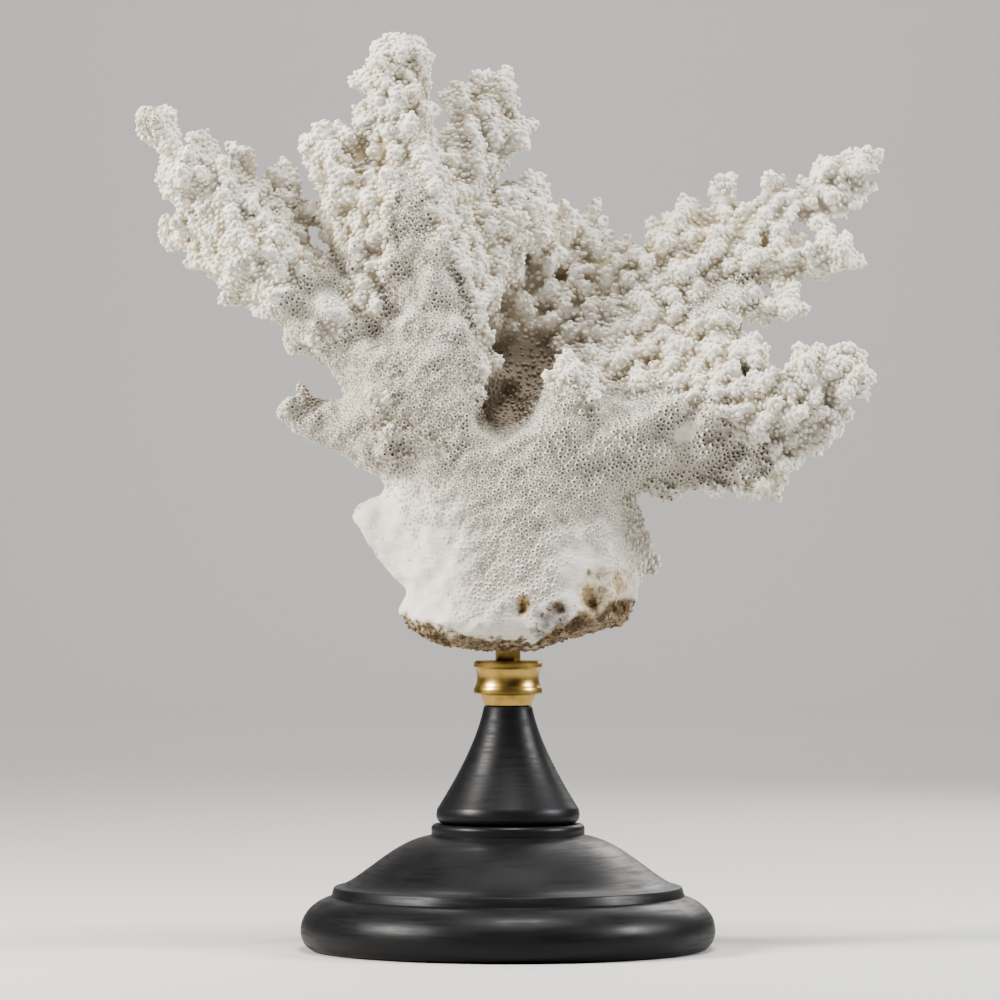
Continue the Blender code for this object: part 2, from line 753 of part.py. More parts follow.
def add_trunk_body(bm):
    """The trunk as a loft through its level sections, with shallow ribs down its sides."""
    rings = []
    for z, middle_x, half_width, middle_y, half_depth in TRUNK_SECTIONS:
        ring = []
        for i in range(TRUNK_SIDES):
            a = 2 * math.pi * i / TRUNK_SIDES
            rib = 1 + TRUNK_RIB_DEPTH / half_depth * math.cos(TRUNK_RIBS * a + 40 * z)
            x = middle_x + half_width * rib * math.copysign(abs(math.cos(a)) ** 0.85, math.cos(a))
            y = middle_y + half_depth * rib * math.copysign(abs(math.sin(a)) ** 0.85, math.sin(a))
            ring.append(bm.verts.new((x, y, z)))
        rings.append(ring)
    for lower, upper in zip(rings, rings[1:]):
        for i in range(TRUNK_SIDES):
            j = (i + 1) % TRUNK_SIDES
            bm.faces.new((lower[i], lower[j], upper[j], upper[i]))
    bm.faces.new(list(reversed(rings[0])))
    bm.faces.new(rings[-1])


def add_broken_rim(bm, rng):
    """Rough lumps round the trunk's underside, where it was broken off its rock."""
    z, middle_x, half_width, middle_y, half_depth = TRUNK_SECTIONS[3]
    count = 26
    for i in range(count):
        a = 2 * math.pi * (i + rng.uniform(-0.3, 0.3)) / count
        share = rng.uniform(0.72, 0.97)
        middle = Vector((
            middle_x + half_width * share * math.cos(a),
            middle_y + half_depth * share * math.sin(a),
            z + 0.001 - 0.006 * (1 - share) / 0.28 + rng.uniform(-0.001, 0.001),
        ))
        add_hull(bm, ball_points(middle, rng.uniform(0.0028, 0.0046)))


def hide(obj):
    obj.hide_render = True
    obj.display_type = "WIRE"


def cut(obj, tool, operation):
    modifier = obj.modifiers.new(tool.name, "BOOLEAN")
    modifier.operation = operation
    modifier.solver = "EXACT"
    modifier.object = tool


def region_corners(limb):
    return [FORKS[c] if isinstance(c, str) else c for c in limb["region"]]


def inset(corners, distance):
    """The corners moved inwards, so that each side lies this far inside its line."""
    area = sum(a[0] * b[1] - b[0] * a[1] for a, b in zip(corners, corners[1:] + corners[:1]))
    turn = math.copysign(1.0, area)
    moved = []
    for before, here, after in zip(corners[-1:] + corners[:-1], corners, corners[1:] + corners[:1]):
        into = (Vector(here) - Vector(before)).normalized()
        out = (Vector(after) - Vector(here)).normalized()
        into_side = Vector((-into.y, into.x)) * turn
        out_side = Vector((-out.y, out.x)) * turn
        moved.append(Vector(here) + (into_side + out_side) * distance / (1 + into_side.dot(out_side)))
    return moved


def region_block(name, corners, material):
    """A region's outline, set in by half a gap and carried right through the coral from front to back."""
    bm = bmesh.new()
    front = [bm.verts.new((x, -REGION_DEPTH, z)) for x, z in inset(corners, 0.5 * GAP)]
    outline = bm.faces.new(front)
    back = bmesh.ops.extrude_face_region(bm, geom=[outline])["geom"]
    bmesh.ops.translate(
        bm, verts=[g for g in back if isinstance(g, bmesh.types.BMVert)], vec=(0, 2 * REGION_DEPTH, 0)
    )
    obj = add_object("region_of_" + name, bm, material)
    hide(obj)
    return obj


def join_skin(obj):
    join = obj.modifiers.new("Join", "REMESH")
    join.mode = "VOXEL"
    join.voxel_size = VOXEL


def coral_core(material, rng):
    """Trunk and stems in one eased skin, with the hollow scooped out."""
    scoop = bmesh.new()
    add_stem(scoop, HOLLOW)
    hollow = add_object("hollow", scoop, material)
    hide(hollow)
    join_skin(hollow)
    bm = bmesh.new()
    add_trunk_body(bm)
    add_broken_rim(bm, rng)
    for name, limb in LIMBS.items():
        for stations in limb["stems"].values():
            add_stem(bm, stations, has_knobs=name != "coral_trunk")
    core = add_object("coral_core", bm, material)
    hide(core)
    join_skin(core)
    cut(core, hollow, "DIFFERENCE")
    ease = core.modifiers.new("Ease", "SMOOTH")
    ease.factor = 0.5
    ease.iterations = EASE_PASSES
    return evaluated_mesh(core, "core")


def grown_coral(material):
    """The whole coral as one body: the core with its knobs, brought to facets."""
    rng = random.Random(5)
    core = coral_core(material, rng)
    bm = bmesh.new()
    bm.from_mesh(core)
    add_knobs(bm, core, rng)
    grown = add_object("grown_coral", bm, material)
    hide(grown)
    join_skin(grown)
    facets = grown.modifiers.new("Facets", "DECIMATE")
    facets.ratio = KEPT_SHARE
    facets.use_collapse_triangulate = True
    return evaluated_mesh(grown, "whole_coral")


def largest_body(mesh):
    """Keeps a mesh's largest connected body, and drops any crumb that a cut left."""
    bm = bmesh.new()
    bm.from_mesh(mesh)
    left = set(bm.verts)
    bodies = []
    while left:
        body, edge = set(), [left.pop()]
        while edge:
            vert = edge.pop()
            body.add(vert)
            near = {e.other_vert(vert) for e in vert.link_edges} & left
            left -= near
            edge += near
        bodies.append(body)
    bodies.sort(key=len)
    crumbs = [v for body in bodies[:-1] for v in body]
    bmesh.ops.delete(bm, geom=crumbs, context="VERTS")
    bm.to_mesh(mesh)
    bm.free()


def evaluated_mesh(obj, name):
    depsgraph = bpy.context.evaluated_depsgraph_get()
    mesh = bpy.data.meshes.new_from_object(obj.evaluated_get(depsgraph))
    mesh.name = name
    return mesh


def make_coral(material):
    """The coral's nodes: the grown body, split along the lines of its main forks."""
    whole = grown_coral(material)
    bore_bottom = TRUNK_SECTIONS[0][0] - ROD_RADIUS
    depth = ROD_TOP + GAP - bore_bottom
    bore = bmesh.new()
    bmesh.ops.create_cone(
        bore, cap_ends=True, segments=ROD_SEGMENTS, radius1=ROD_RADIUS + GAP, radius2=ROD_RADIUS + GAP,
        depth=depth, matrix=Matrix.Translation((0, 0, bore_bottom + depth / 2)),
    )
    tool = add_object("rod_bore", bore, material)
    hide(tool)
    for name, limb in LIMBS.items():
        obj = bpy.data.objects.new(name, whole.copy())
        bpy.context.scene.collection.objects.link(obj)
        cut(obj, region_block(name, region_corners(limb), material), "INTERSECT")
        if name == "coral_trunk":
            cut(obj, tool, "DIFFERENCE")
        obj.data = evaluated_mesh(obj, name)
        obj.modifiers.clear()
        largest_body(obj.data)
        obj.data.shade_smooth()


clear_scene()
wood = finish("black_wood", WOOD_FINISH)
brass = finish("brass", BRASS_FINISH)
coral = finish("coral", CORAL_FINISH)
make_foot(wood)
make_cone(wood)
make_collar(brass)
make_rod(brass)
make_coral(coral)
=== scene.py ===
# A white branching coral on its turned black stand. Metres, +Z up, the broad front looks along -Y.
# The coral's fine growth is worked out on the skin of its solid limbs, so it follows them wherever they go.

import math

import bmesh
import bpy
import numpy as np
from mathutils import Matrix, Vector


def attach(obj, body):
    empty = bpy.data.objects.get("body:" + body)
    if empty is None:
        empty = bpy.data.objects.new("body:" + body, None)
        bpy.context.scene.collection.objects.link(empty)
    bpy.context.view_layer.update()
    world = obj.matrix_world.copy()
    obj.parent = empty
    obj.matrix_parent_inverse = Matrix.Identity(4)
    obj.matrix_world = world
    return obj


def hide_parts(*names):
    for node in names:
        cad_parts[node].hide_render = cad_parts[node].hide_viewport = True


mm = 0.001
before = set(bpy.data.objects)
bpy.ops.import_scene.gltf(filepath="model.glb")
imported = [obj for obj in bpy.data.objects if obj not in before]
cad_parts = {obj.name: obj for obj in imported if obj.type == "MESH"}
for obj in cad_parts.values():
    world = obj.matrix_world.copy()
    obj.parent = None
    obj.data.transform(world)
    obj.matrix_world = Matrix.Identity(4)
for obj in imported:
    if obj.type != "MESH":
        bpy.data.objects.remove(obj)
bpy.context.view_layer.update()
coralNodes = sorted(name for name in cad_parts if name.startswith("coral_"))
print("frame loaded,", len(coralNodes), "coral nodes")


# Small maths on whole arrays

def unit(rows):
    # Each row cut to a length of 1.
    return rows / np.maximum(np.linalg.norm(rows, axis=-1, keepdims=True), 1e-12)


def smoothStep(x, low, high):
    # 0 up to low, 1 from high on, and an even curve 3tt - 2ttt between.
    t = np.clip((x - low) / (high - low), 0.0, 1.0)
    return t * t * (3 - 2 * t)


def patches(places, size, seed):
    # Soft random patches of about this size, from about -1 to 1: a sum of sines in random directions.
    rng = np.random.default_rng(seed)
    waves = unit(rng.normal(size=(14, 3))).T * rng.uniform(0.6, 1.5, 14) * (2 * math.pi / size)
    return np.sin(places @ waves + rng.uniform(0, 2 * math.pi, 14)).sum(1) / 4.0


def ellipseDistance(places, middle, radii, turn):
    # Seen from the front: 0 in the middle of an ellipse, 1 on its line. Millimetres and degrees.
    x = places[:, 0] - middle[0] * mm
    z = places[:, 2] - middle[1] * mm
    c, s = math.cos(math.radians(turn)), math.sin(math.radians(turn))
    return np.hypot((x * c + z * s) / (radii[0] * mm), (z * c - x * s) / (radii[1] * mm))


def acrossPair(axis):
    # Two unit directions square to each axis and to each other.
    helper = np.where(np.abs(axis[:, 2:3]) < 0.9, np.array([[0.0, 0.0, 1.0]]), np.array([[1.0, 0.0, 0.0]]))
    side = unit(np.cross(helper, axis))
    return side, np.cross(axis, side)


# Meshes from arrays

def makeMesh(name, places, faceSets, values=None):
    # faceSets holds arrays of faces, each array with one number of corners; values holds numbers per vertex.
    mesh = bpy.data.meshes.new(name)
    faceSets = [faces for faces in faceSets if len(faces)]
    sizes = np.concatenate([np.full(len(faces), faces.shape[1], np.int32) for faces in faceSets])
    corners = np.concatenate([faces.ravel() for faces in faceSets]).astype(np.int32)
    starts = np.concatenate(([0], np.cumsum(sizes)[:-1])).astype(np.int32)
    mesh.vertices.add(len(places))
    mesh.vertices.foreach_set("co", places.astype(np.float32).ravel())
    mesh.loops.add(len(corners))
    mesh.loops.foreach_set("vertex_index", corners)
    mesh.polygons.add(len(sizes))
    mesh.polygons.foreach_set("loop_start", starts)
    mesh.update(calc_edges=True)
    for key, numbers in (values or {}).items():
        mesh.attributes.new(key, "FLOAT", "POINT").data.foreach_set("value", numbers.astype(np.float32))
    mesh.shade_smooth()
    obj = bpy.data.objects.new(name, mesh)
    bpy.context.scene.collection.objects.link(obj)
    return obj


def readMesh(mesh):
    # A mesh's places and triangles as arrays.
    places = np.empty(len(mesh.vertices) * 3, np.float32)
    mesh.vertices.foreach_get("co", places)
    mesh.calc_loop_triangles()
    faces = np.empty(len(mesh.loop_triangles) * 3, np.int32)
    mesh.loop_triangles.foreach_get("vertices", faces)
    return places.reshape(-1, 3).astype(float), faces.reshape(-1, 3)


def vertexNormals(places, faces):
    # At each vertex the sum of its triangles' normals, each as long as its area, cut to length 1.
    a, b, c = (places[faces[:, i]] for i in range(3))
    square = np.cross(b - a, c - a)
    total = np.zeros_like(places)
    for i in range(3):
        for axis in range(3):
            total[:, axis] += np.bincount(faces[:, i], square[:, axis], len(places))
    return unit(total)


def neighbourMean(values, faces, passes):
    # Each pass moves every vertex's values half way to the mean of its neighbours'.
    a, b = np.concatenate((faces[:, [0, 1]], faces[:, [1, 2]], faces[:, [2, 0]])).T
    count = np.maximum(np.bincount(a, minlength=len(values)) + np.bincount(b, minlength=len(values)), 1)
    values = values.copy()
    for _ in range(passes):
        for axis in range(values.shape[1]):
            column = values[:, axis]
            mean = (np.bincount(a, column[b], len(column)) + np.bincount(b, column[a], len(column))) / count
            values[:, axis] = 0.5 * (column + mean)
    return values


def remeshed(places, faceSets, voxel):
    # One closed skin round everything given, as arrays again.
    obj = makeMesh("temporary", places, faceSets)
    join = obj.modifiers.new("Join", "REMESH")
    join.mode = "VOXEL"
    join.voxel_size = voxel
    evaluated = obj.evaluated_get(bpy.context.evaluated_depsgraph_get())
    result = readMesh(evaluated.to_mesh())
    evaluated.to_mesh_clear()
    mesh = obj.data
    bpy.data.objects.remove(obj)
    bpy.data.meshes.remove(mesh)
    return result


def scatter(places, normals, faces, count, rng):
    # Random places spread evenly over a surface, with their normals.
    a, b, c = (places[faces[:, i]] for i in range(3))
    area = np.linalg.norm(np.cross(b - a, c - a), axis=1)
    corners = faces[rng.choice(len(faces), count, p=area / area.sum())]
    u, v = np.sqrt(rng.random(count)), rng.random(count)
    weights = np.stack((1 - u, u * (1 - v), u * v), axis=1)[:, :, None]
    return (places[corners] * weights).sum(1), unit((normals[corners] * weights).sum(1)), corners[:, 0]


def spread(places, gap, rng, rounds=5):
    # Picks places that keep a gap. Space is cut in cubes that can hold one pick each; of two hopefuls
    # nearer than the gap the one drawn first stays, and the rest may try again in the next round.
    side = gap / math.sqrt(3)
    cell = np.floor(places / side).astype(np.int64) + 4096
    key = (cell[:, 0] * 8192 + cell[:, 1]) * 8192 + cell[:, 2]
    steps = np.arange(-2, 3)
    jumps = np.stack(np.meshgrid(steps, steps, steps, indexing="ij"), -1).reshape(-1, 3)
    apart = np.maximum(np.abs(jumps) - 1, 0)
    jumps = jumps[((apart ** 2).sum(1) < 3) & (np.abs(jumps).sum(1) > 0)]
    jumps = (jumps[:, 0] * 8192 + jumps[:, 1]) * 8192 + jumps[:, 2]
    left = rng.permutation(len(places))
    rank = np.empty_like(left)
    rank[left] = np.arange(len(left))
    picked = np.empty(0, np.int64)
    for _ in range(rounds):
        if not len(left):
            break
        _, first = np.unique(key[left], return_index=True)
        hopeful = left[first]
        blocked = np.zeros(len(hopeful), bool)
        beaten = np.zeros(len(hopeful), bool)
        for jump in jumps:
            wanted = key[hopeful] + jump
            for others, lost in ((picked, blocked), (hopeful, beaten)):
                if not len(others):
                    continue
                at = np.minimum(np.searchsorted(key[others], wanted), len(others) - 1)
                found = np.flatnonzero(key[others[at]] == wanted)
                rival = others[at[found]]
                near = np.linalg.norm(places[hopeful[found]] - places[rival], axis=1) < gap
                if others is hopeful:
                    near &= rank[rival] < rank[hopeful[found]]
                lost[found[near]] = True
        won = hopeful[~(blocked | beaten)]
        picked = np.concatenate((picked, won))
        picked = picked[np.argsort(key[picked])]
        keep = ~np.isin(key[left], key[won])
        keep &= ~np.isin(left, hopeful[blocked])
        left = left[keep]
    return picked


def farFrom(places, others, gap):
    # Whether each place keeps the gap to every other, a slice of the places at a time.
    free = np.ones(len(places), bool)
    for start in range(0, len(places), 1000):
        here = places[start:start + 1000]
        square = ((here[:, None, :] - others[None, :, :]) ** 2).sum(2)
        free[start:start + 1000] = square.min(1) > gap * gap
    return free


def repeated(at, axis, width, height, profile, sides, turn, out=None, flat=1.0):
    # One small turned shape at each place: rings of the profile (radius share, height share) round its axis,
    # closed by a point at the top and by one flat face below. With the surface's normals out, flat squeezes
    # it between the surface and the open air. Returns places, face sets and ring numbers.
    count, rings = len(at), len(profile) - 1
    if out is None:
        side, across = acrossPair(axis)
    else:
        side = unit(np.cross(out, axis) + 1e-6)
        across = np.cross(axis, side) * flat
    angle = turn[:, None] + np.arange(sides) * (2 * math.pi / sides)
    rim = side[:, None, :] * np.cos(angle)[:, :, None] + across[:, None, :] * np.sin(angle)[:, :, None]
    shares = np.array(profile)
    body = (
        at[:, None, None, :]
        + rim[:, None, :, :] * (width[:, None] * shares[:rings, 0])[:, :, None, None]
        + axis[:, None, None, :] * (height[:, None] * shares[:rings, 1])[:, :, None, None]
    )
    tip = at + axis * (height * shares[-1, 1])[:, None]
    places = np.concatenate((body.reshape(count, -1, 3), tip[:, None, :]), axis=1).reshape(-1, 3)
    step = rings * sides + 1
    first = (np.arange(count) * step)[:, None, None]
    i = np.arange(sides)
    j = (i + 1) % sides
    row = (np.arange(rings - 1) * sides)[:, None]
    quads = np.stack((row + i, row + j, row + j + sides, row + i + sides), -1).reshape(1, -1, 4)
    top = (rings - 1) * sides
    fan = np.stack((top + i, top + j, np.full(sides, rings * sides)), -1).reshape(1, -1, 3)
    base = i[::-1].reshape(1, 1, -1)
    faceSets = [
        (first + quads).reshape(-1, 4),
        (first + fan).reshape(-1, 3),
        (first + base).reshape(-1, sides),
    ]
    ring = np.tile(np.append(np.repeat(np.arange(rings), sides), rings), count)
    return places, faceSets, ring


def merged(parts):
    # Several (places, faceSets) as one.
    places = np.concatenate([part[0] for part in parts])
    starts = np.cumsum([0] + [len(part[0]) for part in parts])
    faceSets = [faces + start for part, start in zip(parts, starts) for faces in part[1]]
    return places, faceSets


# The coral: where it is knobby, pitted, broken or stained

growth = {
    "palm": (2.0, 0.0, 178.0),      # branches lean away from here, mm
    "pittedZones": (                # middle x and z, radii, turn: low cups here and branchlets outside, mm
        ((-31, 240), (42, 17), 97),
        ((-38, 284), (26, 7), 95),
        ((-60, 234), (24, 13), 42),
        ((-82, 254), (28, 8), 50),
        ((50, 203), (32, 19), 4),
        ((82, 194), (22, 8), 6),
        ((86, 262), (15, 4), 28),
        ((12, 192), (46, 30), 0),
        ((-6, 163), (62, 40), 0),
        ((10, 152), (56, 44), 0),
        ((-40, 132), (14, 15), 0),
        ((-55, 168), (16, 25), 0),
        ((54, 160), (14, 22), 0),
        ((-144.5, 335), (6.5, 7.5), 0),
        ((-73, 209), (25, 17), -18),
    ),
    "shelves": ((56, 162), (9, 16), 0),     # no branchlets or cups but lobes: the frilled right edge, mm
    "columns": ((24, 272), (22, 28), 0),    # tall upright branchlets here, mm
    "pittedEdge": (0.86, 1.42),     # ellipse distances where branchlets begin and are full
    "hollow": ((2, 226), (23, 17), 66),     # seen from the front, mm
    "hollowFront": -14.0,           # its rim's place in depth, mm
    "bowl": ((1, 223), (22, 15), 68),       # scooped out of the front, from the rim's depth to the bottom's
    "bowlDepths": (-27.0, 9.0),
    "smoothZones": (                # no cups: chalky flanks of the trunk, mm
        ((-34, 148), (15, 30), -20),
        ((34, 146), (12, 20), 20),
        ((-53, 171), (12, 17), -25),
        ((-46, 158), (10, 15), -20),
        ((70.5, 206), (6.5, 4.5), 40),
    ),
    # The broken underside's lowest line and upper edge, seen from the front: x and z, mm
    "bottomLine": ((-60, 135), (-43, 130.5), (-34, 124.4), (-24, 120.6), (-15, 118.6), (16, 118.2),
                   (31, 121.8), (53, 126.4), (60, 129)),
    "brokenEdge": ((-60, 134), (-45, 135.2), (-42.8, 133.8), (-34, 131.2), (-27, 127.8), (-17.6, 126.2),
                   (-8.4, 125.2), (0, 124.8), (5.2, 124), (9, 122.6), (13.4, 123.2), (17.2, 125.6),
                   (20.8, 129.4), (26.8, 133.2), (30, 136), (34.5, 134), (38, 135.4), (42, 139.8),
                   (46, 140.4), (50, 139), (52.8, 137.5), (60, 137.5)),
}


def knobShare(places):
    # 1 where branchlets grow, 0 in the pitted zones and the hollow.
    near = np.full(len(places), 9.0)
    for middle, radii, turn in growth["pittedZones"]:
        near = np.minimum(near, ellipseDistance(places, middle, radii, turn))
    near += 0.10 * patches(places, 16 * mm, 3)
    low, high = growth["pittedEdge"]
    return smoothStep(near, low, high) * (1 - hollowShare(places))


def hollowShare(places):
    # 1 on the hollow's wall behind its rim, 0 away from it; also how much painted shade the wall gets.
    middle, radii, turn = growth["hollow"]
    near = ellipseDistance(places, middle, radii, turn) + 0.05 * patches(places, 10 * mm, 5)
    deep = smoothStep(places[:, 1], (growth["hollowFront"] - 6) * mm, (growth["hollowFront"] + 8) * mm)
    return (1 - smoothStep(near, 0.75, 1.25)) * deep * (places[:, 1] < 32 * mm)


def cupShare(places):
    # 1 where the trunk has cups, fading to 0 on its chalky flanks and close to its broken edge.
    bare = np.full(len(places), 9.0)
    for middle, radii, turn in growth["smoothZones"]:
        bare = np.minimum(bare, ellipseDistance(places, middle, radii, turn))
    bare += 0.18 * patches(places, 9 * mm, 21) + 0.10 * patches(places, 4 * mm, 23)
    low = smoothStep(places[:, 2] + 3 * mm * patches(places, 12 * mm, 22), 128 * mm, 150 * mm)
    return smoothStep(bare, 0.60, 1.60) * low


def soilShare(places):
    # The brown crust of the broken underside: 1 below its upper edge, 0 above it.
    edge = np.array(growth["brokenEdge"]) * mm
    height = places[:, 2] - np.interp(places[:, 0], edge[:, 0], edge[:, 1])
    height += (1.4 * patches(places, 12 * mm, 11) + 0.9 * patches(places, 4 * mm, 12)) * mm
    return 1 - smoothStep(height, -0.8 * mm, 0.8 * mm)


def columnShare(places):
    # 1 among the upright columns of the crown, 0 elsewhere.
    return 1 - smoothStep(ellipseDistance(places, *growth["columns"]), 0.8, 1.2)


def growthWay(places):
    # The way the coral grows at each place: away from the palm, and a little up.
    way = unit(places - np.array(growth["palm"]) * mm)
    way[:, 2] += 0.25 + 0.8 * columnShare(places)
    return unit(way)


# Places on the trunk's front: middle x and z, radii, turn, depth, and how ochre, dark or grey they are. The
# dark is painted shade in the carved pits, holes and caves, partly real colour at their rims, and real colour
# in the red speck and red edge.
marks = {
    "ochrePit": ((6.0, 138.0), (2.7, 4.3), -10, 2.2, 1.0, 0.0, 0.0),
    "pitShade": ((5.6, 136.8), (1.5, 2.8), -10, 0.9, 0.0, 0.8, 0.0),
    "greyPatch": ((17.0, 130.5), (8.5, 7.5), 30, 0.9, 0.0, 0.0, 1.0),
    "darkPit": ((20.0, 137.0), (2.6, 2.9), 0, 3.0, 0.3, 0.85, 0.3),
    "creamCavern": ((32.4, 139.8), (3.8, 6.2), 10, 4.5, 0.9, 0.1, 0.0),
    "cavernShade": ((34.2, 137.4), (1.3, 4.0), 12, 1.4, 0.3, 0.7, 0.0),
    "smallHole": ((37.8, 144.4), (1.7, 1.3), 0, 1.2, 0.3, 0.6, 0.2),
    "redEdge": ((16.4, 125.8), (1.9, 1.3), 30, 0.4, 0.9, 0.3, 0.0),
    "creamRim": ((33.0, 149.0), (4.2, 2.6), 20, 1.4, 0.45, 0.0, 0.0),
    "ochreSlot": ((43.6, 146.4), (2.0, 5.4), 8, 3.4, 0.9, 0.25, 0.0),
    "darkCave": ((46.6, 136.8), (5.8, 3.6), 15, 6.0, 0.1, 0.85, 0.0),
    "ochreStain": ((39.6, 143.6), (12.0, 9.5), 0, 1.0, 0.58, 0.0, 0.0),
    "creamHole": ((31.0, 143.4), (2.2, 2.0), 0, 2.0, 0.9, 0.25, 0.0),
    "caveShade": ((39.8, 136.4), (4.8, 1.6), 54, 1.8, 0.2, 0.9, 0.0),
    "redSpeck": ((32.0, 150.8), (0.9, 1.6), 20, 0.0, 0.3, 0.9, 0.0),
    "leftHole": ((-2.0, 136.8), (1.1, 1.1), 0, 0.8, 0.0, 0.6, 0.0),
    "bump": ((-14.0, 136.0), (3.4, 4.2), 0, -1.3, 0.0, 0.0, 0.0),
    "lowCave": ((27.0, 130.5), (4.5, 2.6), 20, 3.5, 0.0, 0.9, 0.0),
}


def markShare(places, which):
    # The strongest of the marks at each place on the front: 0 ochre, 1 dark, 2 grey. The dark is painted
    # shade in the carved pits, holes and caves, and real colour in a few marks.
    total = np.zeros(len(places))
    for middle, radii, turn, _, *tints in marks.values():
        near = ellipseDistance(places, middle, radii, turn) + 0.12 * patches(places, 4 * mm, 17)
        total = np.maximum(total, tints[which] * (1 - smoothStep(near, 0.75, 1.15)))
    return total * (places[:, 1] < 0)


def carveMarks(places):
    # Pits and the bowl of the hollow, pushed in from the front.
    front = places[:, 1] < 0
    for middle, radii, turn, depth, *_ in marks.values():
        near = ellipseDistance(places, middle, radii, turn)
        rugged = 1 + 0.45 * patches(places, 3.6 * mm, 19)
        places[:, 1] += front * depth * rugged * mm * (1 - smoothStep(near, 0.45, 1.1))
    near = ellipseDistance(places, *growth["bowl"]) + 0.05 * patches(places, 9 * mm, 18)
    rim, bottom = growth["bowlDepths"]
    wall = (bottom + (rim - bottom) * near ** 2) * mm
    places[:, 1] = np.where(near < 1.1, np.maximum(places[:, 1], wall), places[:, 1])


skin = {
    "inflate": 0.30 * mm,       # closes the gaps between the solid limbs
    "coreVoxel": 1.4 * mm,
    "coreEase": 3,              # smoothing passes over the solids' facets
    "sink": 1.4 * mm,           # how far the core lies under the branchlets' tips where it is knobby
    "sinkThin": -0.5 * mm,      # on thin fingers, which lose some in the smoothing
    "sinkPitted": 0.35 * mm,
    "swell": 0.75 * mm,         # soft lumps of the pitted zones
    "rough": 0.85 * mm,         # of the broken underside
    "crust": 1.3 * mm,          # how far it lies back under the white edge
    "voxel": 1.50 * mm,
    "ease": 1,
    "thinReach": 40,            # smoothing passes that show up the thin fingers
    "thinFrom": (0.8, 3.0),     # how far those move them, mm
    "creviceReach": 14,         # smoothing passes that show up the crevices
    "pittedShades": (0.22, 0.50),        # painted crevice shade of a bare pitted zone, and what its cups add
}


def joinedLimbs():
    # The solid limbs as arrays, each let out a little so that they run into one another, and the
    # masses that fill them out.
    parts = []
    for name in coralNodes:
        bm = bmesh.new()
        bm.from_mesh(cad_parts[name].data)
        bmesh.ops.remove_doubles(bm, verts=bm.verts, dist=1e-6)
        copy = bpy.data.meshes.new("copy")
        bm.to_mesh(copy)
        bm.free()
        places, faces = readMesh(copy)
        bpy.data.meshes.remove(copy)
        places += vertexNormals(places, faces) * skin["inflate"]
        parts.append((places, [faces]))
    return merged([*parts, roundedMasses(np.concatenate([part[0] for part in parts]))])


fullness = {                    # rounded masses that fill out the fingers: x, z and radius of each, mm
    "leftTip": ((-144.8, 332, 4), (-140.4, 327.6, 3.6), (-137.6, 322.4, 4.2), (-133.6, 334, 1.8),
                (-134.8, 330, 2.4)),
    "leftSeam": ((-83.2, 307.2, 2.2), (-84.8, 301.2, 2.4), (-82, 297.2, 2.6), (-78, 293.2, 2.4),
                 (-74, 290.4, 2.2)),
    "rightTop": ((122.8, 299.6, 5.6), (132.8, 303.6, 5.2), (140, 306, 3.4), (144, 313.2, 3.8),
                 (136, 310.8, 4.6)),
    "rightMiddle": ((110.8, 278.8, 4.8), (114.8, 283.2, 3), (108.8, 271.6, 4.8), (116.8, 274.8, 4.8),
                    (113.6, 267.2, 4), (122.8, 272.4, 4.8), (129.6, 276.8, 4.8), (135.2, 279.2, 3.6)),
    "rightNub": ((115.6, 255.6, 2.8), (110.8, 252.8, 3.2), (104.8, 257.6, 4.2), (92, 242.4, 3)),
    "rightKnob": ((99.6, 236.8, 4.6), (96.8, 242, 3.2)),
    "rightLow": ((128.8, 233.2, 5.4), (136.4, 229.2, 4.4), (121.6, 234.8, 4.4), (125.6, 218, 6.2),
                 (130.4, 211.6, 4.2), (122.4, 203.6, 5.2), (113.6, 196.8, 5.4), (108.4, 190, 4.4),
                 (100.8, 184.4, 3.6)),
    "rightTopEdge": ((126.8, 312.4, 3.6), (133.6, 315.6, 3.6), (140, 316.4, 3.2), (129.6, 288.4, 3.2)),
    "rightTopBelow": ((132, 296.4, 4.4), (138.8, 300.4, 4.2), (124.8, 292, 4.4), (143.6, 305.2, 3.2)),
    "rightHeart": ((119.2, 213.2, 5.6), (116.8, 221.6, 5), (108.8, 260.8, 4.8), (103.2, 252.4, 3.4)),
    "spur": ((-43.2, 136, 1.6), (-40.4, 134.4, 2.6)),
    "leftFinger": ((-89.6, 215.2, 3.4), (-83.2, 213.2, 6.8), (-77.2, 211.2, 8.4), (-70.4, 210, 10),
                   (-63.2, 208.4, 11.2), (-82.2, 224.2, 3.3), (-81.4, 219.8, 3)),
}
ball = {                        # the form of one rounded mass
    "profile": ((0.35, -0.94), (0.80, -0.60), (1.0, 0.0), (0.80, 0.60), (0.35, 0.94), (0.0, 1.0)),
    "sides": 14,
    "nearest": 30,              # its depth is the mean of so many places
}


def roundedMasses(known):
    # Balls at the given x and z, each as deep in as the known places nearest to it.
    x, z, radius = np.array([row for rows in fullness.values() for row in rows]).T * mm
    away = np.hypot(known[None, :, 0] - x[:, None], known[None, :, 2] - z[:, None])
    nearest = np.argsort(away, axis=1)[:, :ball["nearest"]]
    middle = np.stack((x, known[nearest, 1].mean(1), z), -1)
    upward = np.tile((0.0, 0.0, 1.0), (len(middle), 1))
    return repeated(middle, upward, radius, radius, ball["profile"], ball["sides"], np.zeros(len(middle)))[:2]


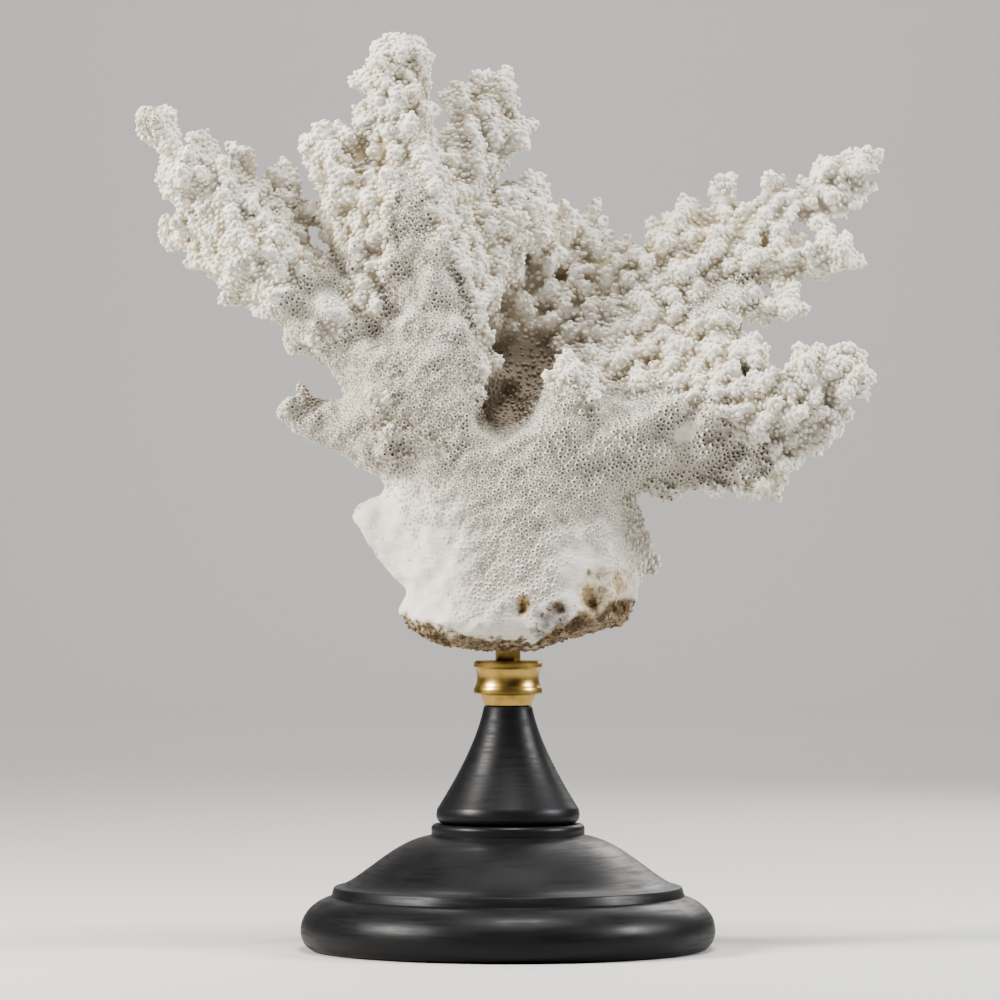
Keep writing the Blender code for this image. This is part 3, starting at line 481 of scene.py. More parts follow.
def coreSkin():
    # The limbs' eased skin. Each place moves along its normal: by soft lumps where it is pitted, inwards
    # under the branchlets where it is knobby, and inwards and raggedly on the broken underside. Last come the
    # pits, and nothing lies below the bottom line.
    places, faces = remeshed(*joinedLimbs(), skin["coreVoxel"])
    places = neighbourMean(places, faces, skin["coreEase"])
    thin = np.linalg.norm(neighbourMean(places, faces, skin["thinReach"]) - places, axis=1) / mm
    thin = smoothStep(thin, *skin["thinFrom"])
    share = knobShare(places)
    sink = skin["sinkPitted"] + (skin["sink"] - skin["sinkPitted"]) * share
    sink += (skin["sinkThin"] - sink) * thin * share
    swell = skin["swell"] * (patches(places, 10 * mm, 31) + 0.6 * patches(places, 5.5 * mm, 32)) * (1 - share)
    swell *= 1 - 0.6 * hollowShare(places)
    broken = soilShare(places)
    rough = np.clip(patches(places, 6 * mm, 33) + patches(places, 3.4 * mm, 34), -1.8, 1.2)
    rough = skin["rough"] * rough * broken
    crust = skin["crust"] * broken
    places += vertexNormals(places, faces) * (swell * (1 - broken) + rough - sink - crust)[:, None]
    carveMarks(places)
    line = np.array(growth["bottomLine"]) * mm
    lowest = np.interp(places[:, 0], line[:, 0], line[:, 1]) + 1.0 * mm * patches(places, 4.5 * mm, 35)
    places[:, 2] = np.maximum(places[:, 2], lowest)
    return places, faces, thin


branchlets = {                  # large ones first, then small ones between them
    "tries": 40000,             # random places to pick from
    "gaps": (7.1 * mm, 4.8 * mm),
    "rise": (6.8 * mm, 4.0 * mm),       # out of the core
    "riseAtTips": 0.60,         # share of it on thin tips
    "riseOfColumns": 1.5,
    "riseAtTop": 0.35,          # share of it on the crown's top, between these heights
    "topHeights": (354 * mm, 364 * mm),
    "radius": (2.95 * mm, 1.95 * mm),
    "lean": 1.05,               # towards the growth
    "scatter": 0.20,
    "apart": 4.2 * mm,          # small ones from large ones
    "sides": 8,
    "profile": ((0.92, -0.35), (0.90, 0.15), (1.0, 0.62), (0.74, 0.90), (0.0, 1.02)),
}
frills = {                      # scallops of the three shelves on the trunk's right: middle of each, mm
    "middles": ((47.0, 4.0, 171.5), (50.0, 6.0, 163.0), (53.5, 7.0, 154.5)),
    "reach": 3.8 * mm,
    "length": 4.4 * mm,
    "radius": 1.6 * mm,
    "turns": np.radians(np.linspace(-62, 70, 6)),
}


def makeBranchlets(places, faces, thin, rng):
    # Turned stems out of the core. A stem's axis is the normal leaned towards the growth, and its height
    # is the rise by a random size, less on thin tips and the crown's top, more among the columns. The
    # frills are fans of the same stems.
    normals = vertexNormals(places, faces)
    at, out, source = scatter(places, normals, faces, branchlets["tries"], rng)
    keep = rng.random(len(at)) < smoothStep(knobShare(at) * (1 - soilShare(at)), 0.25, 0.7)
    at, out, source = at[keep], out[keep], source[keep]
    large = spread(at, branchlets["gaps"][0], rng)
    small = spread(at, branchlets["gaps"][1], rng)
    small = small[farFrom(at[small], at[large], branchlets["apart"])]
    parts = []
    for picked, rise, radius in zip((large, small), branchlets["rise"], branchlets["radius"]):
        base, normal = at[picked], out[picked]
        axis = unit(normal + branchlets["lean"] * growthWay(base)
                    + branchlets["scatter"] * rng.normal(size=base.shape))
        size = rng.uniform(0.70, 1.12, len(base))
        tall = 1 + (branchlets["riseOfColumns"] - 1) * columnShare(base)
        tall *= 1 + (branchlets["riseAtTips"] - 1) * thin[source[picked]]
        tall *= 1 + (branchlets["riseAtTop"] - 1) * smoothStep(base[:, 2], *branchlets["topHeights"])
        parts.append(repeated(base, axis, radius * np.sqrt(size), rise * size * tall, branchlets["profile"],
                              branchlets["sides"], rng.uniform(0, 6.28, len(base)))[:2])
    for number, middle in enumerate(frills["middles"]):
        turn = frills["turns"] + 0.2 * number
        axis = unit(np.stack((np.cos(turn), 0.25 * np.sin(3 * turn), np.sin(turn)), -1))
        whole = np.ones(len(turn))
        parts.append(repeated(np.array(middle) * mm + axis * frills["reach"], axis, frills["radius"] * whole,
                              frills["length"] * whole, branchlets["profile"], branchlets["sides"], turn)[:2])
    print(len(large), "large and", len(small), "small branchlets")
    return parts


def coralValues(places, creviceShade, holeShade):
    # The numbers per vertex that the coral's finish reads: among them the painted shade of crevices, mouths
    # and the hollow, and the dark marks, which are partly painted shade.
    return {
        "creviceShade": creviceShade, "holeShade": holeShade, "soil": soilShare(places), "hollowShade": hollowShare(places),
        "ochre": markShare(places, 0), "darkMarksAndShade": markShare(places, 1), "grey": markShare(places, 2),
        "knobby": knobShare(places),
    }


sowing = {                      # where the small growth takes root
    "tries": 300000,            # random places to pick from
    "lobes": 0.50,              # knobby share over which lobes grow, and under it the taller cups
    "lowCups": 0.03,            # and under this one the low cups
    "cupped": 0.10,             # least cup share of a low cup
    "ragged": 0.10,             # how uneven the lobes' and the low cups' borders are
    "deepest": 0.97,            # deepest crevice that has lobes
    "hollow": 0.45,             # hollow share over which lobes grow too
    "marked": 0.2,              # strongest mark that has low cups
    "crust": (0.4, 0.5, 0.6),   # crust share that ends cups, ends lobes, and starts grains
    "backFrom": (12 * mm, 4 * mm),      # depth where the sparser back begins, and how uneven that is
    "halves": 4 * mm,           # low cups left and right of this are two pieces
}


def pickFrontAndBack(at, pool, look, rng):
    # Closer together on the broad front than behind, as far as the gaps say.
    depth, uneven = sowing["backFrom"]
    behind = at[pool, 1] > depth + uneven * patches(at[pool], 20 * mm, 41)
    front = pool[~behind]
    back = pool[behind]
    return np.concatenate((front[spread(at[front], look["gap"], rng)],
                           back[spread(at[back], look["gapBehind"], rng)]))


def growSkin(rng):
    # Limbs and branchlets in one skin, with how deep each of its places lies in a crevice, from 0 to 1, as
    # painted crevice shade; the pitted zones get a set shade instead, deeper where they have cups.
    core = coreSkin()
    print("core skin,", len(core[1]), "triangles")
    stems = makeBranchlets(*core, rng)
    places, faces = remeshed(*merged([(core[0], [core[1]]), *stems]), skin["voxel"])
    places = neighbourMean(places, faces, skin["ease"])
    normals = vertexNormals(places, faces)
    print("grown skin,", len(faces), "triangles")
    eased = neighbourMean(places, faces, skin["creviceReach"])
    depth = ((eased - places) * normals).sum(1) / mm     # over 0 in a crevice, under 0 on a tip
    # The depth in a crevice, as a share of painted crevice shade.
    creviceShade = smoothStep(neighbourMean(depth[:, None], faces, 2)[:, 0], -1.0, 1.0)
    share = knobShare(places)
    bare, cupped = skin["pittedShades"]
    creviceShade = creviceShade * share + (1 - share) * (bare + cupped * cupShare(places))
    return places, faces, normals, creviceShade


def shareOut(at, shade, soil, hasCup, rng):
    # Which of the random places may carry a lobe, a low cup or a taller cup.
    here = knobShare(at)
    onShelf = ellipseDistance(at, *growth["shelves"]) < 1
    cupsOff, lobesOff, _ = sowing["crust"]
    isLobe = here > sowing["lobes"] + sowing["ragged"] * rng.normal(size=len(at))
    isLobe &= (shade < sowing["deepest"]) & (soil < lobesOff)
    isLobe |= onShelf | (hollowShare(at) > sowing["hollow"])
    marked = np.max([markShare(at, which) for which in range(3)], axis=0)
    plain = (soil < cupsOff) & ~isLobe & ~onShelf
    isCup = hasCup > sowing["cupped"] + sowing["ragged"] * rng.random(len(at))
    isCup &= (here < sowing["lowCups"]) & (marked < sowing["marked"]) & plain
    isTube = (here >= sowing["lowCups"]) & (here < sowing["lobes"]) & plain
    return isLobe, isCup, isTube


lobes = {                       # the small rounded growth on branchlets, shelves and hollow
    "gap": 1.90 * mm,
    "gapBehind": 2.35 * mm,
    "width": 1.34 * mm,
    "height": 0.95 * mm,
    "lean": 1.35,
    "flat": 0.66,
    "sides": 6,
    "profile": ((1.0, -0.80), (1.0, 0.45), (0.62, 0.92), (0.0, 1.0)),
    "ringShades": (0.75, 0.38, 0.16, 0.10),      # painted crevice shade of each ring, darkest at the foot
    "mouths": 0.12,             # share of the lobes with a painted dark mouth at the tip
    "mouthShade": 0.50,
}


def makeLobes(at, out, shade, isLobe, rng):
    # Small rounded lobes in three pieces from left to right, leaned towards the growth and flattened
    # against the skin. In the hollow they are smaller and stand straight out.
    pool = pickFrontAndBack(at, np.flatnonzero(isLobe), lobes, rng)
    print(len(pool), "lobes")
    pool = pool[np.argsort(at[pool, 0])]
    pieces = []
    ringShades = np.array(lobes["ringShades"])
    for name, pick in zip(("lobesLeft", "lobesMiddle", "lobesRight"), np.array_split(pool, 3)):
        inHollow = hollowShare(at[pick])
        size = rng.uniform(0.72, 1.18, len(pick)) * (1 - 0.25 * inHollow)
        lean = lobes["lean"] * (1 - 0.9 * inHollow)[:, None]
        axis = unit(out[pick] + lean * growthWay(at[pick]) + 0.12 * rng.normal(size=(len(pick), 3)))
        height = lobes["height"] * size * rng.uniform(0.8, 1.3, len(pick))
        shapes, faceSets, ring = repeated(at[pick], axis, lobes["width"] * size, height, lobes["profile"],
                                          lobes["sides"], rng.uniform(0, 6.28, len(pick)), out[pick],
                                          lobes["flat"])
        each = len(shapes) // len(pick)
        # Painted crevice shade: the skin's shade below the lobe, darkest at its foot and faint at its tip.
        tone = np.repeat(shade[pick] + 0.25 * rng.random(len(pick)), each) * ringShades[ring]
        # Painted shade: a dark mouth at the tip of some lobes.
        hasMouth = rng.random(len(pick)) < lobes["mouths"]
        holeShade = np.repeat(lobes["mouthShade"] * hasMouth, each) * (ring == len(ringShades) - 1)
        pieces.append(makeMesh(name, shapes, faceSets, coralValues(shapes, tone, holeShade)))
    return pieces


cups = {                        # the low ones of the pitted zones
    "gap": 1.56 * mm,
    "gapBehind": 2.05 * mm,
    "width": 0.95 * mm,
    "height": 0.62 * mm,
    "lean": 0.45,
    "sides": 6,
    "profile": ((1.32, -0.70), (0.86, 0.80), (0.54, 0.86), (0.0, -0.20)),
    "worn": (150 * mm, 190 * mm),       # lower, and with fainter painted mouth shade, below these heights
}
tubes = {                       # the taller cups between the pitted zones and the branchlets
    "gap": 2.15 * mm,
    "gapBehind": 2.5 * mm,
    "width": 1.10 * mm,
    "height": 1.45 * mm,
    "lean": 0.55,
    "sides": 6,
    "profile": ((1.10, -0.40), (0.90, 0.88), (0.56, 1.0), (0.0, 0.30)),
}
cupRings = {                    # painted shade of a cup's foot, rim, lip and middle: crevice shade, and mouth shade darkest in the middle
    "ringShades": (0.62, 0.12, 0.15, 1.0),
    "mouthShades": (0.0, 0.0, 0.62, 1.0),
}


def makeCups(name, look, at, out, hasCup, mask, rng):
    # Short tubes with a sunken middle, painted dark there as the shade of a deep mouth. The low ones are
    # smaller and fainter near the trunk's foot and where cups are scarce.
    pick = pickFrontAndBack(at, np.flatnonzero(mask), look, rng)
    print(len(pick), name)
    size = rng.uniform(0.84, 1.12, len(pick))
    height = look["height"] * size * rng.uniform(0.8, 1.2, len(pick))
    fresh = smoothStep(at[pick, 2], *cups["worn"])
    if look is cups:
        size *= 0.72 + 0.28 * hasCup[pick]
        height *= (0.50 + 0.50 * fresh) * (0.55 + 0.45 * hasCup[pick])
    axis = unit(out[pick] + look["lean"] * growthWay(at[pick]) + 0.10 * rng.normal(size=(len(pick), 3)))
    shapes, faceSets, ring = repeated(at[pick], axis, look["width"] * size, height, look["profile"],
                                      look["sides"], rng.uniform(0, 6.28, len(pick)))
    # Painted shade at each cup's foot and, darkest, in its sunken middle.
    tone = np.array(cupRings["ringShades"])[ring]
    holeShade = np.array(cupRings["mouthShades"])[ring]
    # The painted mouth shade, fainter near the foot and where cups are scarce.
    if look is cups:
        faint = (0.30 + 0.70 * hasCup[pick]) * (0.62 + 0.38 * fresh)
        holeShade *= np.repeat(faint, len(shapes) // len(pick))
    return makeMesh(name, shapes, faceSets, coralValues(shapes, tone, holeShade))


crumbs = {                      # loose grain of the broken underside
    "gap": 1.7 * mm,
    "size": (0.45 * mm, 1.30 * mm),
    "sides": 5,
    "profile": ((0.9, -0.5), (1.0, 0.3), (0.0, 0.8)),
    # Painted crevice shade of each ring, darkest at the foot.
    "ringShades": (1.0, 0.5, 0.0),
}


def makeCrumbs(at, out, soil, rng):
    # Grains of the crust: small stubs that point anywhere, most of them near the least size.
    pool = np.flatnonzero(soil > sowing["crust"][2])
    pick = pool[spread(at[pool], crumbs["gap"], rng)]
    least, most = crumbs["size"]
    size = least + (most - least) * rng.random(len(pick)) ** 2
    axis = unit(out[pick] + 0.8 * rng.normal(size=(len(pick), 3)))
    shapes, faceSets, ring = repeated(at[pick], axis, size, size * rng.uniform(0.6, 1.3, len(pick)),
                                      crumbs["profile"], crumbs["sides"], rng.uniform(0, 6.28, len(pick)))
    print(len(pick), "crumbs")
    # Painted crevice shade, darkest at each crumb's foot.
    tone = np.array(crumbs["ringShades"])[ring]
    return makeMesh("crustCrumbs", shapes, faceSets, coralValues(shapes, tone, np.zeros(len(shapes))))


def makeCoral():
    # The skin first, then the small growth at places picked on it at random, from one seed.
    rng = np.random.default_rng(7)
    places, faces, normals, creviceShade = growSkin(rng)
    body = makeMesh("coralSkin", places, [faces], coralValues(places, creviceShade, np.zeros(len(places))))
    at, out, source = scatter(places, normals, faces, sowing["tries"], rng)
    shade = creviceShade[source]
    soil = soilShare(at)
    hasCup = cupShare(at)
    isLobe, isCup, isTube = shareOut(at, shade, soil, hasCup, rng)
    left = at[:, 0] < sowing["halves"]
    return body, [
        *makeLobes(at, out, shade, isLobe, rng),
        makeCups("cupsLeft", cups, at, out, hasCup, isCup & left, rng),
        makeCups("cupsRight", cups, at, out, hasCup, isCup & ~left, rng),
        makeCups("tubes", tubes, at, out, hasCup, isTube, rng),
        makeCrumbs(at, out, soil, rng),
    ]


# Shader helper

class Socket:
    # A node's output with arithmetic, for values only.
    def __init__(self, paint, link):
        self.paint = paint
        self.link = link

    def calc(self, operation, *values):
        return self.paint.node("ShaderNodeMath", {"operation": operation}, dict(enumerate(values)))

    def __add__(self, other):
        return self.calc("ADD", self, other)

    __radd__ = __add__

    def __mul__(self, other):
        return self.calc("MULTIPLY", self, other)

    __rmul__ = __mul__


class Paint:
    # A material with a Principled shader.
    def __init__(self, name, fixed):
        self.material = bpy.data.materials.new(name)
        self.material.use_nodes = True
        self.tree = self.material.node_tree
        self.shader = self.tree.nodes["Principled BSDF"]
        for key, value in fixed.items():
            self.shader.inputs[key].default_value = value

    def node(self, kind, settings, sockets, output=0):
        made = self.tree.nodes.new(kind)
        for key, value in settings.items():
            setattr(made, key, value)
        for key, value in sockets.items():
            if isinstance(value, Socket):
                self.tree.links.new(value.link, made.inputs[key])
            else:
                made.inputs[key].default_value = value
        return Socket(self, made.outputs[output])

    def feed(self, key, value):
        self.tree.links.new(value.link, self.shader.inputs[key])

    def attribute(self, name):
        return self.node("ShaderNodeAttribute", {"attribute_name": name}, {}, "Fac")

    def objectPlace(self):
        return self.node("ShaderNodeTexCoord", {}, {}, "Object")

    def scaledPlace(self, scale):
        return self.node("ShaderNodeMapping", {}, {"Vector": self.objectPlace(), "Scale": scale})

    def turningPlace(self):
        # Drawn out round the Z axis, so that noise becomes the fine lines of turning.
        return self.scaledPlace((0.05, 0.05, 1.0))

    def noise(self, scale, detail=3.0, rough=0.5, vector=None):
        return self.node("ShaderNodeTexNoise", {}, {
            "Vector": vector or self.objectPlace(), "Scale": scale, "Detail": detail, "Roughness": rough,
        }, "Fac")

    def mix(self, share, first, second):
        # Colours: share 0 gives the first, 1 the second. The numbers are the colour sockets of this node.
        first, second = (given if isinstance(given, Socket) else (*given, 1.0) for given in (first, second))
        return self.node("ShaderNodeMix", {"data_type": "RGBA"}, {0: share, 6: first, 7: second}, 2)

    def range(self, value, low, high, first=0.0, second=1.0):
        return self.node("ShaderNodeMapRange", {"interpolation_type": "SMOOTHSTEP"}, {
            "Value": value, "From Min": low, "From Max": high, "To Min": first, "To Max": second,
        })

    def bump(self, height, strength, distance):
        self.feed("Normal", self.node("ShaderNodeBump", {}, {
            "Height": height, "Strength": strength, "Distance": distance,
        }))


coralLook = {
    "white": (0.82, 0.782, 0.705),
    # Painted crevice shade: cream where light glows in the crevices, and grey-brown, with some real dirt, in
    # the pitted zones and in patches elsewhere.
    "creviceShade": (0.57, 0.495, 0.345),
    "between": (0.46, 0.415, 0.345),
    "ochre": (0.50, 0.37, 0.175),
    "darkMarksAndShade": (0.075, 0.045, 0.025),
    "grey": (0.32, 0.29, 0.275),
    "holeShade": (0.045, 0.034, 0.025),
    "soil": (0.17, 0.12, 0.07),
    "soilPale": (0.44, 0.36, 0.25),
    # Painted shade on the hollow's wall.
    "hollowShade": (0.20, 0.157, 0.112),
    "hollowShadeShare": 0.82,
    "bump": (0.60, 0.0009),     # strength, and height in metres
}


def coralFinish():
    # Chalk white, with crust, ochre stains, grey patches and dark marks where the vertex numbers say, and
    # painted shade: creamier to grey-brown in crevices and between cups, brown on the hollow's wall, dark in
    # mouths, carved pits, caves and the crust's gaps.
    paint = Paint("coralChalk", {"Roughness": 0.82, "Specular IOR Level": 0.25})
    creviceShade = paint.attribute("creviceShade")
    holeShade = paint.attribute("holeShade")
    soil = paint.attribute("soil")
    hollowShade = paint.attribute("hollowShade")
    ochre = paint.attribute("ochre")
    grey = paint.attribute("grey")
    creamPatches = paint.noise(38.0, 3.0)
    grain = paint.noise(900.0, 3.0, 0.6)
    # Painted crevice shade: from chalk white towards grey-brown, and towards cream in random patches of the
    # knobby zones.
    base = paint.mix(paint.range(creamPatches, 0.35, 0.60) * paint.attribute("knobby"), coralLook["between"],
                     coralLook["creviceShade"])
    colour = paint.mix(paint.range(creviceShade, 0.10, 1.0), coralLook["white"], base)
    # Painted shade: the hollow's wall darkened to brown, as in the shadow behind the limbs.
    colour = paint.mix(hollowShade * coralLook["hollowShadeShare"], colour, coralLook["hollowShade"])
    soilColour = paint.mix(paint.range(paint.noise(260.0, 4.0, 0.65), 0.38, 0.62), coralLook["soil"],
                           coralLook["soilPale"])
    greyPatches = paint.range(paint.noise(330.0, 3.0), 0.30, 0.62, 0.35, 1.0)
    colour = paint.mix(grey * greyPatches, colour, coralLook["grey"])
    colour = paint.mix(soil, colour, soilColour)
    ochrePatches = paint.range(paint.noise(420.0, 2.0), 0.25, 0.6, 0.5, 1.0)
    colour = paint.mix(ochre * ochrePatches, colour, coralLook["ochre"])
    # Painted shade in the carved pits, holes and caves, and a few real dark marks.
    colour = paint.mix(paint.attribute("darkMarksAndShade") * 0.9, colour, coralLook["darkMarksAndShade"])
    specks = (ochre + grey) * paint.range(paint.noise(560.0, 3.0, 0.6), 0.54, 0.62) * 0.8
    # Painted shade: dark patches in the crust for the gaps between its grains.
    gaps = soil * paint.range(paint.noise(190.0, 3.0, 0.6), 0.50, 0.66) * 0.75
    colour = paint.mix(specks + gaps, colour, coralLook["darkMarksAndShade"])
    # Painted shade in the mouths of cups, tubes and lobes.
    colour = paint.mix(holeShade, colour, coralLook["holeShade"])
    paint.feed("Base Color", colour)
    lines = paint.noise(520.0, 2.0, vector=paint.scaledPlace((0.25, 0.25, 1.0)))
    paint.bump(grain * 0.6 + lines + paint.noise(240.0, 4.0, 0.7), *coralLook["bump"])
    return paint.material


woodLook = {
    "colour": (0.0105, 0.0105, 0.0115),
    "roughness": (0.34, 0.44),
    "turningRoughness": 0.12,   # what the fine turning lines add
    "bump": (0.12, 0.0003),
}


def woodFinish():
    # Black satin wood with cloudy gloss and fine turning lines.
    paint = Paint("ebonisedWood", {"Base Color": (*woodLook["colour"], 1.0), "Specular IOR Level": 0.27})
    cloud = paint.noise(55.0, 4.0)
    low, high = woodLook["roughness"]
    turning = paint.noise(900.0, 3.0, 0.6, paint.turningPlace())
    lines = paint.range(turning, 0.4, 0.7, 0.0, woodLook["turningRoughness"])
    paint.feed("Roughness", paint.range(cloud, 0.35, 0.65, low, high) + lines)
    paint.bump(turning, *woodLook["bump"])
    return paint.material


brassLook = {
    "bright": (0.43, 0.30, 0.105),
    "aged": (0.27, 0.18, 0.06),
    "roughness": (0.30, 0.46),
    "bump": (0.20, 0.0002),
}


def brassFinish():
    # Brass, duller and browner in cloudy patches, with fine turning lines.
    paint = Paint("agedBrass", {"Metallic": 1.0})
    cloud = paint.noise(140.0, 4.0)
    age = paint.range(cloud, 0.45, 0.75)
    paint.feed("Base Color", paint.mix(age, brassLook["bright"], brassLook["aged"]))
    paint.feed("Roughness", paint.range(cloud, 0.35, 0.70, *brassLook["roughness"]))
    paint.bump(paint.noise(1400.0, 2.0, 0.5, paint.turningPlace()), *brassLook["bump"])
    return paint.material


# The turned stand: profiles as (radius, height) in mm, spun round the Z axis

def bezier(start, startHandle, endHandle, end, steps):
    # A cubic curve from start to end, pulled by its two handles, as so many points.
    t = np.linspace(0, 1, steps)[:, None]
    a, b, c, d = (np.array(p, float) for p in (start, startHandle, endHandle, end))
    return (1 - t) ** 3 * a + 3 * (1 - t) ** 2 * t * b + 3 * (1 - t) * t ** 2 * c + t ** 3 * d


def arc(middle, radii, start, end, steps):
    # Part of an ellipse between two angles in degrees.
    angle = np.radians(np.linspace(start, end, steps))
    return np.stack((middle[0] + radii[0] * np.cos(angle), middle[1] + radii[1] * np.sin(angle)), -1)


def turned(name, profile, sides, sharp=32):
    # The profile spun about Z: grid of (angle, profile row). First and last rows lie on the axis.
    rows = np.concatenate([np.atleast_2d(np.array(part, float)) for part in profile]) * mm
    inner = rows[1:-1]
    angle = np.arange(sides) * (2 * math.pi / sides)
    grid = np.stack((
        inner[:, None, 0] * np.cos(angle), inner[:, None, 0] * np.sin(angle),
        np.repeat(inner[:, 1:2], sides, axis=1),
    ), -1).reshape(-1, 3)
    ends = np.array([[0, 0, rows[0, 1]], [0, 0, rows[-1, 1]]])
    i = np.arange(sides)
    j = (i + 1) % sides
    row = (np.arange(len(inner) - 1) * sides)[:, None]
    quads = np.stack((row + i, row + j, row + j + sides, row + i + sides), -1).reshape(-1, 4)
    last = (len(inner) - 1) * sides
    below = np.stack((j, i, np.full(sides, len(grid))), -1)
    above = np.stack((last + i, last + j, np.full(sides, len(grid) + 1)), -1)
    obj = makeMesh(name, np.concatenate((grid, ends)), [quads, below, above])
    obj.data.set_sharp_from_angle(angle=math.radians(sharp))
    return obj


stand = {                       # radii and heights, mm
    "footRadius": 83.0,
    "flatRadius": 77.2,
    "torusMiddle": 7.8,
    "torusRound": 18.2,
    "torusTop": 22.0,
    "stepRadius": 70.4,
    "stepTop": 25.0,
    "ogeeTop": 45.4,
    "ringRadius": 30.7,
    "footTop": 50.2,
    "coneRadius": 28.7,
    "coneNeck": 9.7,
    "coneTop": 97.4,
    "collarRadius": 13.7,
    "collarWaist": 12.5,
    "collarNeck": 10.8,
    "collarTop": 115.3,
    "ogeeHandles": ((60.0, 26.6), (46.5, 43.2)),
    "coneHandles": ((21.4, 67.2), (12.4, 83.0)),
    "gap": 0.3,                 # between the turned pieces
    "footSides": 160,
    "coneSides": 120,
    "collarSides": 96,
}


def makeFoot():
    # From the table up: torus, step, ogee and ring.
    s = stand
    edge = s["footRadius"] - s["flatRadius"]
    return turned("standFoot", [
        (0, 0),
        arc((s["flatRadius"], s["torusMiddle"]), (edge, s["torusMiddle"]), -90, -4, 12),
        arc((s["footRadius"] - s["torusRound"], s["torusMiddle"]),
            (s["torusRound"], s["torusTop"] - s["torusMiddle"]), 0, 71, 22),
        (s["stepRadius"] + 0.2, s["torusTop"] - 0.3), (s["stepRadius"], s["torusTop"] + 0.2),
        (s["stepRadius"] - 0.6, s["stepTop"] - 0.5), (s["stepRadius"] - 1.0, s["stepTop"]),
        bezier((s["stepRadius"] - 2.2, s["stepTop"] + 0.4), *s["ogeeHandles"],
               (s["ringRadius"] + 1.0, s["ogeeTop"]), 30),
        (s["ringRadius"], s["ogeeTop"] + 0.4),
        arc((s["ringRadius"] - 1.6, s["footTop"] - 2.2), (1.6, 2.2), -20, 90, 10),
        (0, s["footTop"]),
    ], s["footSides"])


def makeCone():
    # A rounded bottom edge, then one hollow sweep up to the neck.
    s = stand
    bottom = s["footTop"] + s["gap"]
    return turned("standCone", [
        (0, bottom), (s["coneRadius"] - 2.4, bottom),
        arc((s["coneRadius"] - 2.2, bottom + 3.2), (2.2, 3.0), -75, 15, 8),
        bezier((s["coneRadius"] - 0.35, bottom + 5.6), *s["coneHandles"],
               (s["coneNeck"], s["coneTop"] - 0.5), 30),
        (s["coneNeck"] - 0.5, s["coneTop"]), (0, s["coneTop"]),
    ], s["coneSides"])


def makeCollar():
    # A neck, a lower lip, a waist and an upper lip.
    s = stand
    bottom = s["coneTop"] + s["gap"]
    lip, waist, neck = s["collarRadius"], s["collarWaist"], s["collarNeck"]
    return turned("brassCollar", [
        (0, bottom), (neck - 1.1, bottom), (neck - 0.7, bottom + 1.2), (neck, bottom + 4.0),
        (lip - 0.4, bottom + 4.3), (lip, bottom + 4.9), (lip, bottom + 6.3),
        bezier((lip - 0.3, bottom + 7.0), (waist - 0.4, bottom + 9.0), (waist - 0.4, bottom + 12.6),
               (lip - 0.4, bottom + 14.7), 16),
        (lip, bottom + 15.2), (lip, s["collarTop"] - 0.9), (lip - 0.6, s["collarTop"]), (0, s["collarTop"]),
    ], s["collarSides"])


# Light and floor

stageLook = {
    "floor": (0.60, 0.59, 0.57),
    "world": (0.62, 0.64, 0.68),
    "worldStrength": 0.06,
    "frontEdge": -5.0,          # of the floor, metres
    "bendFrom": 2.6,            # where it starts to curve up, with this radius
    "bendRadius": 1.0,
    "wallTop": 4.0,
    "halfWidth": 5.0,
}
lamps = (                # name, place, aim, size, power, colour
    ("leftBox", (-1.0, -0.34, 0.72), (0, 0, 0.2), 0.30, 24.0, (1.0, 0.97, 0.93)),
    ("rightBox", (1.0, -0.14, 0.60), (0, 0, 0.2), 0.30, 11.0, (0.97, 0.98, 1.0)),
    ("topBox", (0.1, -0.30, 1.35), (0, 0, 0.2), 0.36, 14.0, (1.0, 1.0, 1.0)),
    ("backBox", (0.5, 1.0, 0.7), (0, 0, 0.2), 0.60, 5.0, (1.0, 0.98, 0.95)),
    ("wallBox", (0.0, 2.0, 2.4), (0, 3.4, 0.3), 1.20, 45.0, (1.0, 0.99, 0.98)),
)


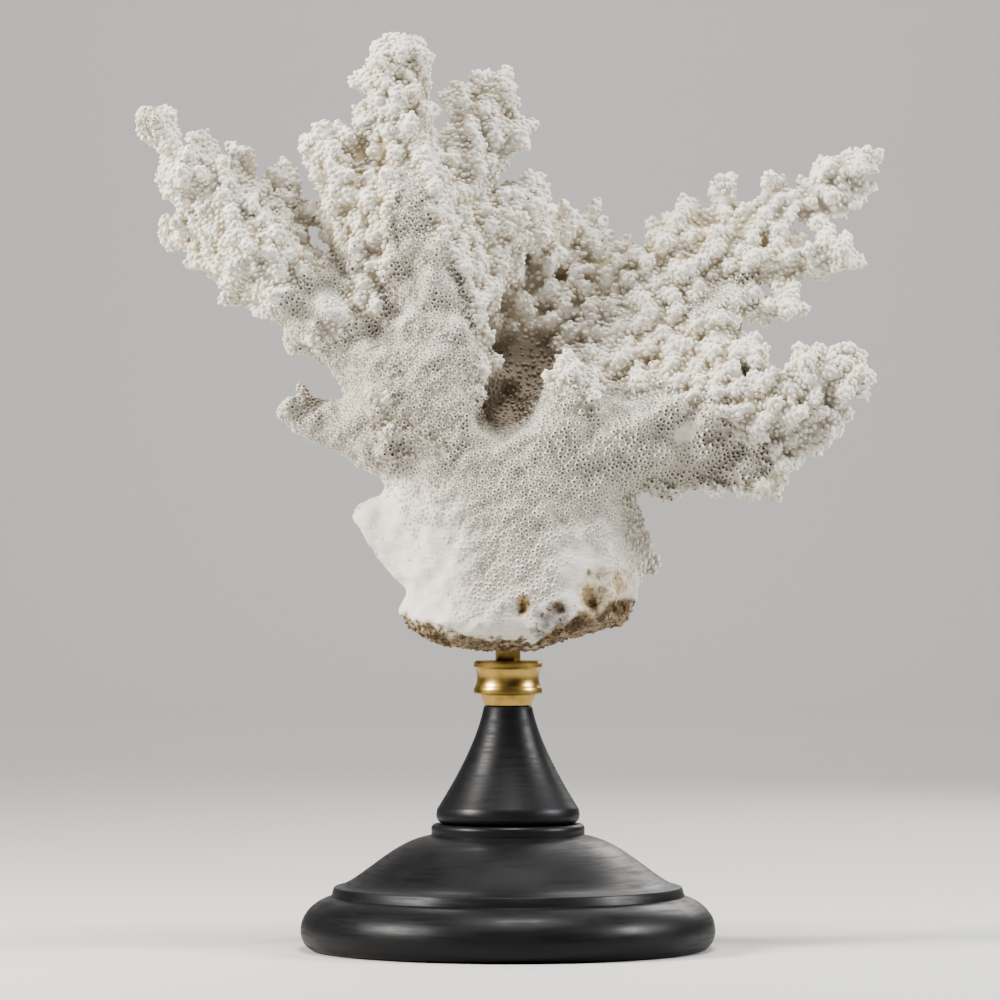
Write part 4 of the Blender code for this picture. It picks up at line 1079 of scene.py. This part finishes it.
def makeStage():
    # A floor that curves up into a wall behind: a path (y, z) drawn out along X.
    start, radius = stageLook["bendFrom"], stageLook["bendRadius"]
    bend = arc((start, radius), (radius, radius), -90, 0, 16)
    path = np.concatenate(([(stageLook["frontEdge"], 0.0)], bend, [(start + radius, stageLook["wallTop"])]))
    n = len(path)
    left = np.stack((np.full(n, -stageLook["halfWidth"]), path[:, 0], path[:, 1]), -1)
    right = left * (-1, 1, 1)
    i = np.arange(n - 1)
    floor = makeMesh("floor", np.concatenate((left, right)), [np.stack((i, i + n, i + n + 1, i + 1), -1)])
    paint = Paint("paleFloor", {"Base Color": (*stageLook["floor"], 1.0), "Roughness": 0.9})
    floor.data.materials.append(paint.material)
    for name, place, aim, size, power, colour in lamps:
        lamp = bpy.data.lights.new(name, "AREA")
        lamp.shape = "SQUARE"
        lamp.size = size
        lamp.energy = power
        lamp.color = colour
        obj = bpy.data.objects.new(name, lamp)
        obj.location = place
        obj.rotation_euler = (Vector(aim) - Vector(place)).to_track_quat("-Z", "Y").to_euler()
        bpy.context.scene.collection.objects.link(obj)
    world = bpy.data.worlds.new("studio")
    world.use_nodes = True
    background = world.node_tree.nodes["Background"]
    background.inputs["Color"].default_value = (*stageLook["world"], 1.0)
    background.inputs["Strength"].default_value = stageLook["worldStrength"]
    bpy.context.scene.world = world
    bpy.context.scene.view_settings.look = "AgX - Medium High Contrast"


photoView = {                   # metres, degrees, mm
    "place": (-0.0032, -2.4, 0.1796),
    "tilt": 90,
    "lens": 216,
    "sensor": 36,
}


def makeCamera():
    lens = bpy.data.cameras.new("photoCamera")
    lens.lens = photoView["lens"]
    lens.sensor_width = photoView["sensor"]
    lens.clip_end = 20
    camera = bpy.data.objects.new("photoCamera", lens)
    camera.location = photoView["place"]
    camera.rotation_euler = (math.radians(photoView["tilt"]), 0, 0)
    bpy.context.scene.collection.objects.link(camera)
    bpy.context.scene.camera = camera


coralBody, coralDetail = makeCoral()
chalk = coralFinish()
for obj in (coralBody, *coralDetail):
    obj.data.materials.append(chalk)
    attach(obj, "root")
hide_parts(*coralNodes)
print("coral done")

wood = woodFinish()
brass = brassFinish()
for obj, node, finish, slotName in (
    (makeFoot(), "stand_foot", wood, "black_wood"),
    (makeCone(), "stand_cone", wood, "black_wood"),
    (makeCollar(), "brass_collar", brass, "brass"),
):
    obj.data.materials.append(finish)
    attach(obj, "root")
    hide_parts(node)
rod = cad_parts["brass_rod"]
rod.data.materials.clear()
rod.data.materials.append(brass)
print("stand done")

makeStage()
makeCamera()
